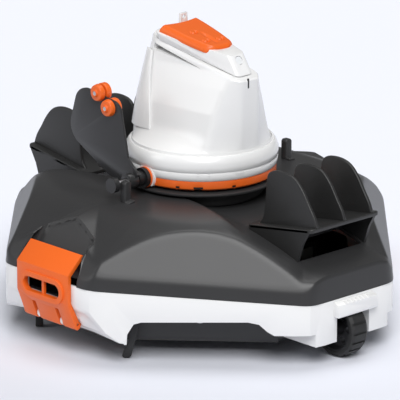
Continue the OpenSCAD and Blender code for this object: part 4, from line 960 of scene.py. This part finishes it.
@dataclass
class Turret:
    """White turret: band and collar, lofted shell with front rib, and cap; its rear covers, crown and tab are
    rounded parts.
    """

    x: float = 4.0
    shell_z: float = 158.0
    shoulder_h: float = 14.0
    shoulder_r: float = 66.3
    flare_h: float = 22.0
    crown_z: float = 256.2
    crown_angle: float = 13.5
    edge_in: float = 1.1
    edge_h: float = 1.4
    lift: float = 0.4
    jet_r: float = 18.6
    jet_z: float = 190.0
    band_r: float = 72.6
    mark_z: float = 154.6
    marks: Tuple[Pair, ...] = ((-46, 2.4), (-38, 2.4), (-14, 9.0), (20, 2.4), (62, 2.4))
    directions: int = 200
    rows: int = 64
    rear: Tuple[Tuple[float, Round], ...] = (
        (22, Round(-34, 20, 27)), (50, Round(-33, 14, 27)), (73, Round(-34, 11, 23)),
        (88, Round(-34.5, 9.5, 20)), (114, Round(-34.8, 7, 16)),
    )
    flank: Tuple[Tuple[float, Round], ...] = (
        (22, Round(44, 31, 10)), (50, Round(45, 23.5, 10)), (73, Round(50, 16, 8)),
        (88, Round(56, 10, 6)), (114, Round(38, 8, 6)),
    )
    rib: Round = Round(62, 9, 4)

    @staticmethod
    def at(height: float, table: Sequence[Tuple[float, Round]]) -> Round:
        """The corner circle at a height over the skirt."""
        if height <= table[0][0]:
            return table[0][1]
        for (low, a), (high, b) in zip(table, table[1:]):
            if height <= high:
                return a.blend(b, (height - low) / (high - low))
        return table[-1][1]

    def reach(self, angle: float, height: float) -> float:
        """Distance from the section's middle to its outline in one direction."""
        rib = self.rib.blend(self.flank[-1][1], min(1.0, max(0.0, (height - 84) / 30)))
        circles = [self.at(height, self.rear), self.at(height, self.flank), rib]

        def cover(way: float) -> float:
            c, s = math.cos(way), math.sin(way)
            return max(k.x * c + k.y * abs(s) + k.r for k in circles) / math.cos(way - angle)

        step = math.radians(6)
        middle = min((angle + step * i for i in range(-12, 13)), key=cover)
        low, high = middle - step, middle + step
        for _ in range(14):
            third = (high - low) / 3
            if cover(low + third) < cover(high - third):
                high -= third
            else:
                low += third
        return cover((low + high) / 2)

    def wall(self, angle: float, height: float) -> float:
        """Distance to the shell's skin: the tower, flared out towards the round shoulder."""
        tower = self.reach(angle, height)
        if height >= self.shoulder_h + self.flare_h:
            return tower
        if height <= self.shoulder_h:
            return self.shoulder_r
        t = (height - self.shoulder_h) / self.flare_h
        return tower + (self.shoulder_r - tower) * (1 - t) ** 3.2

    def roof(self, x: float) -> float:
        """Height over the skirt of the inclined joint under the crown."""
        return self.crown_z - self.shell_z - x * math.tan(math.radians(self.crown_angle))

    def build_shell(self) -> None:
        """Loft the shell, close it and cut the wedge slots and the jet's mouth."""
        points: List[Point] = []
        for i in range(self.directions):
            angle = math.tau * i / self.directions
            c, s = math.cos(angle), math.sin(angle)
            roof = self.roof(0.0)
            for _ in range(4):
                roof = self.roof(self.wall(angle, roof) * c)
            for row in range(self.rows):
                share = row / (self.rows - 1)
                height = self.lift + (roof - self.lift) * share ** 1.15
                inset = self.edge_in * max(0.0, 1 - (roof - height) / self.edge_h) ** 2
                r = self.wall(angle, height) - inset
                points.append(((self.x + r * c) * MM, r * s * MM, (self.shell_z + height) * MM))
        faces = [tuple(i * self.rows for i in range(self.directions))]
        faces.append(tuple(i * self.rows + self.rows - 1 for i in range(self.directions)))
        for i in range(self.directions):
            j = (i + 1) % self.directions
            for k in range(self.rows - 1):
                a, b = i * self.rows + k, j * self.rows + k
                faces.append((a, b, b + 1, a + 1))
        piece = Shop.from_faces("skin_turret_shell", points, faces)
        for side in (-1, 1):
            Shop.cut(piece, self.slot_cutter(side))
        mouth = Shop.round_bar("jet_cutter", self.jet_r, 60.0, (self.x - 60.0, 0.0, self.jet_z))
        Shop.cut(piece, mouth)
        Shop.only(piece)
        bpy.ops.object.shade_smooth_by_angle(angle=math.radians(30))
        Shop.finish(piece, "turret", Finish.HULL_WHITE, "hull_white", ["turret_shell"])

    def slot_cutter(self, side: int) -> bpy.types.Object:
        """A curved wedge that runs out along the flank under the crown's joint."""
        slope = math.tan(math.radians(self.crown_angle))
        upper, lower = [], []
        for i in range(13):
            t = i / 12
            x = -38.0 + 62.0 * t
            line = self.crown_z - x * slope
            upper.append((x, line - 4.4 - 1.2 * t))
            lower.append((x, line - 10.6 + 5.0 * t ** 0.8))
        outline = upper + lower[::-1]
        return Shop.loft("slot_cutter", [[(self.x + x, side * y, z) for x, z in outline] for y in (9.0, 60.0)])

    def build_collar(self) -> None:
        """Turn the band over the ring and the collar over the band, a fine joint between them."""
        band = [
            (66.4, 147.1), (70.6, 147.1), (71.6, 148.0), (72.2, 150.4), (72.5, 154.0), (72.2, 154.6),
            (69.0, 154.7), (66.4, 154.7),
        ]
        collar = [
            (66.5, 155.9), (72.2, 155.9), (72.7, 156.5), (73.0, 160.2), (72.8, 163.4), (71.9, 166.4),
            (70.5, 168.9), (69.4, 170.4), (68.6, 170.9), (67.7, 170.7), (67.0, 169.9), (66.5, 169.4),
        ]
        for name, profile in (("turret_band", band), ("turret_collar", collar)):
            piece = Shop.turned(name, profile, 240, self.x)
            if name == "turret_band":
                for angle, width in self.marks:
                    Shop.cut(piece, self.band_mark(angle, width))
            Shop.only(piece)
            bpy.ops.object.shade_smooth_by_angle(angle=math.radians(50))
            Shop.finish(piece, "turret", Finish.HULL_WHITE, "hull_white")

    def build_dark_lines(self) -> None:
        """Dark rings: a black ring in the joint over the band, painted shade in the gap, and a dark ring in
        the notches of the orange ring.
        """
        # The black ring in the joint is painted shade: it darkens the gap where its shadow falls.
        joint = [(66.6, 153.0), (71.5, 153.0), (71.5, 157.2), (66.6, 157.2)]
        notch = [(66.3, 138.6), (70.3, 139.9), (70.3, 141.9), (66.3, 141.9)]
        for name, profile in (("band_joint_painted_shade", joint), ("ring_backing", notch)):
            piece = Shop.turned(name, profile, 192, self.x)
            Shop.finish(piece, "turret", Finish.BEARING_BLACK, "bearing_black")

    def build_rib_slit_shade(self) -> None:
        """A black block set into the front rib, painted shade that stands for its narrow slit."""
        # Painted shade: no slit is cut; the black block darkens the rib where the slit's shadow falls.
        slit = Shop.box("rib_slit_painted_shade", (self.x + 65.6, -2.5, 236.6), (1.6, 1.8, 9.5), 0.5)
        Shop.finish(slit, "turret", Finish.BEARING_BLACK, "bearing_black")

    def band_mark(self, angle: float, width: float) -> bpy.types.Object:
        """A small drain slot at the top of the band."""
        a = math.radians(angle)
        cutter = Shop.box("mark_cutter", (0, 0, 0), (4.0, width, 1.6), 0.3)
        cutter.rotation_euler = (0, 0, a)
        cutter.location = (
            (self.x + self.band_r * math.cos(a)) * MM, self.band_r * math.sin(a) * MM, self.mark_z * MM,
        )
        return cutter

    def build(self) -> None:
        """Make every modelled piece of the turret."""
        self.build_collar()
        self.build_dark_lines()
        self.build_shell()
        Cap(self.x).build()
        self.build_rib_slit_shade()


@dataclass
class FinDeck:
    """One finned deck: a sloping plate, three swept fins and the cheeks that stand on the cover."""

    end: int
    in_x: float = 112.0
    out_x: float = 197.0
    width: float = 90.0
    out_z: float = 131.0
    angle: float = 8.5
    plate_t: float = 4.0
    pitch: float = 35.5
    fin_t: float = 3.6
    cheek_t: float = 3.0
    top_z: float = 175.0

    def deck(self, x: float) -> float:
        """Height of the plate's top face."""
        return self.out_z - (self.out_x - x) * math.tan(math.radians(self.angle))

    def fin_outline(self) -> List[Pair]:
        """Side outline of a fin: a steep back, a broad crest and a swept front."""
        back, top = self.in_x, self.top_z
        foot, tip = self.deck(back + 8) - 1.0, self.deck(self.out_x - 2) - 1.0
        keys = [
            (back + 8, foot), (back + 14, foot + 9), (back + 16.4, foot + 24),
            (back + 18.5, top - 10), (back + 24, top - 2.6), (back + 35, top),
            (back + 47, top - 0.6), (back + 57, top - 4.6), (back + 66, top - 13.5), (back + 74, top - 25.5),
            (self.out_x - 4.5, top - 35), (self.out_x - 1.0, tip + 2.0),
        ]
        return Shop.smooth_line(keys, 5) + [(self.out_x - 2, tip - 2), (back + 8, foot - 2)]

    def build(self) -> None:
        """Make the plate, cheeks and fins as one moulding."""
        pieces = [self.build_plate()]
        for row in (-1, 0, 1):
            fin = Shop.slab("fin", self.fin_outline(), row * self.pitch, self.fin_t)
            Shop.bevel(fin, 1.1, 3, 40)
            pieces.append(fin)
        for side in (-1, 1):
            y = side * (self.width - self.cheek_t) / 2
            pieces.append(Shop.slab("cheek", self.cheek_outline(), y, self.cheek_t))
        bpy.ops.object.select_all(action="DESELECT")
        for piece in pieces:
            piece.select_set(True)
        bpy.context.view_layer.objects.active = pieces[0]
        bpy.ops.object.join()
        whole = pieces[0]
        whole.name = "skin_front_fin_deck" if self.end > 0 else "skin_rear_fin_deck"
        if self.end < 0:
            whole.data.transform(Matrix.Rotation(math.pi, 4, "Z"))
        Shop.only(whole)
        bpy.ops.object.shade_smooth_by_angle(angle=math.radians(34))
        node = "front_fin_deck" if self.end > 0 else "rear_fin_deck"
        Shop.finish(whole, "cover", Finish.FIN_DARK, "cover_dark", [node])

    def build_plate(self) -> bpy.types.Object:
        """The sloping plate with rounded corners."""
        half, corner = self.width / 2, 5.0
        outline = []
        for cx, cy, start in (
            (self.out_x - corner, half - corner, 0), (self.in_x + corner, half - corner, 90),
            (self.in_x + corner, -half + corner, 180), (self.out_x - corner, -half + corner, 270),
        ):
            for i in range(6):
                a = math.radians(start + 18 * i)
                outline.append((cx + corner * math.cos(a), cy + corner * math.sin(a)))
        plate = Shop.loft("plate", [
            [(x, y, self.deck(x) - drop) for x, y in outline] for drop in (0.0, self.plate_t)
        ])
        Shop.bevel(plate, 1.0, 3, 30)
        return plate

    def cheek_outline(self) -> List[Pair]:
        """Side outline of a cheek between the plate and the cover."""
        cover = Cover()
        y = self.width / 2 - self.cheek_t / 2
        top = [(self.out_x - 3, self.deck(self.out_x - 3) - 1), (self.in_x + 4, self.deck(self.in_x + 4) - 1)]
        low = []
        for i in range(17):
            x = self.in_x + 4 + i * (self.out_x - self.in_x - 22) / 16
            low.append((x, min(cover.top(x, y) + 0.2, self.deck(x) - 2)))
        return top + low + [(self.out_x - 12, self.out_z - 17)]


def rounded_parts() -> List[RoundedPart]:
    """The moulded parts that keep their packed form and get rounded edges."""
    white, dark = Finish.HULL_WHITE, Finish.COVER_DARK
    return [
        RoundedPart("base_hull", "hull", white, "hull_white", 0.7),
        RoundedPart("stop_posts", "cover", dark, "cover_dark", 0.8),
        RoundedPart("front_hood", "hull", white, "hull_white", 0.6),
        RoundedPart("rear_hood", "hull", white, "hull_white", 0.6),
        RoundedPart("latch_left", "latch_l", Finish.ORANGE, "accent_orange", 0.7),
        RoundedPart("latch_right", "latch_r", Finish.ORANGE, "accent_orange", 0.7),
        RoundedPart("paddle", "paddle_arm", Finish.SMOKE, "smoke_plastic", 0.4),
        RoundedPart("paddle_floats", "paddle_arm", Finish.ORANGE, "accent_orange", 0.8),
        RoundedPart("corner_glides", "hull", Finish.RUBBER, "rubber", 0.6),
        RoundedPart("turret_ring", "turret", Finish.ORANGE, "accent_orange", 0.4),
        RoundedPart("lanyard_tab", "turret", white, "hull_white", 0.5),
        RoundedPart("crown_cover", "turret", white, "hull_white", 1.2, 3),
        RoundedPart("side_panel", "turret", white, "hull_white", 1.0, 3),
    ]


def plain_parts() -> PlainParts:
    """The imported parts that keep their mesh."""
    steel, black, white = Finish.STEEL, Finish.BEARING_BLACK, Finish.HULL_WHITE
    return PlainParts({
        "bottom_plate": Finish.UNDER_DARK, "bottom_screws": steel, "intake_flap": Finish.ORANGE,
        "intake_flap_pin": steel, "floor_squeegees": Finish.RUBBER, "filter_frame": Finish.SMOKE,
        "filter_mesh": Finish.MESH, "hull_seal": Finish.RUBBER,
        "turret_bearing": black, "deck_screws": steel, "turret_skirt": white,
        "indicator_lens": Finish.LENS, "jet_nozzle": Finish.UNDER_DARK,
        "motor": steel, "motor_seal": Finish.RUBBER, "impeller": black, "impeller_shaft": steel,
        "battery_pack": Finish.CELL, "battery_bracket": black, "control_board": Finish.BOARD,
        "spindle_clip": steel, "paddle_bearing": black, "paddle_seal": Finish.ORANGE,
        "paddle_pin": steel, "pin_cap": Finish.SMOKE, "float_screws": steel,
        "latch_pin_left": steel, "latch_pin_right": steel, "front_axle": steel, "rear_axle": steel,
        "front_wheel": black, "rear_wheel": black, "front_tyre": Finish.TYRE, "rear_tyre": Finish.TYRE,
    })


def main() -> None:
    """Build the studio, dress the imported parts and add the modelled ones."""
    logging.basicConfig(level=logging.INFO, format="%(message)s")
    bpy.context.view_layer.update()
    Studio().build()
    plain_parts().dress()
    Cover().build()
    Turret().build()
    for end in (1, -1):
        FinDeck(end).build()
    for part in rounded_parts():
        part.build()


if __name__ == "__main__":
    main()
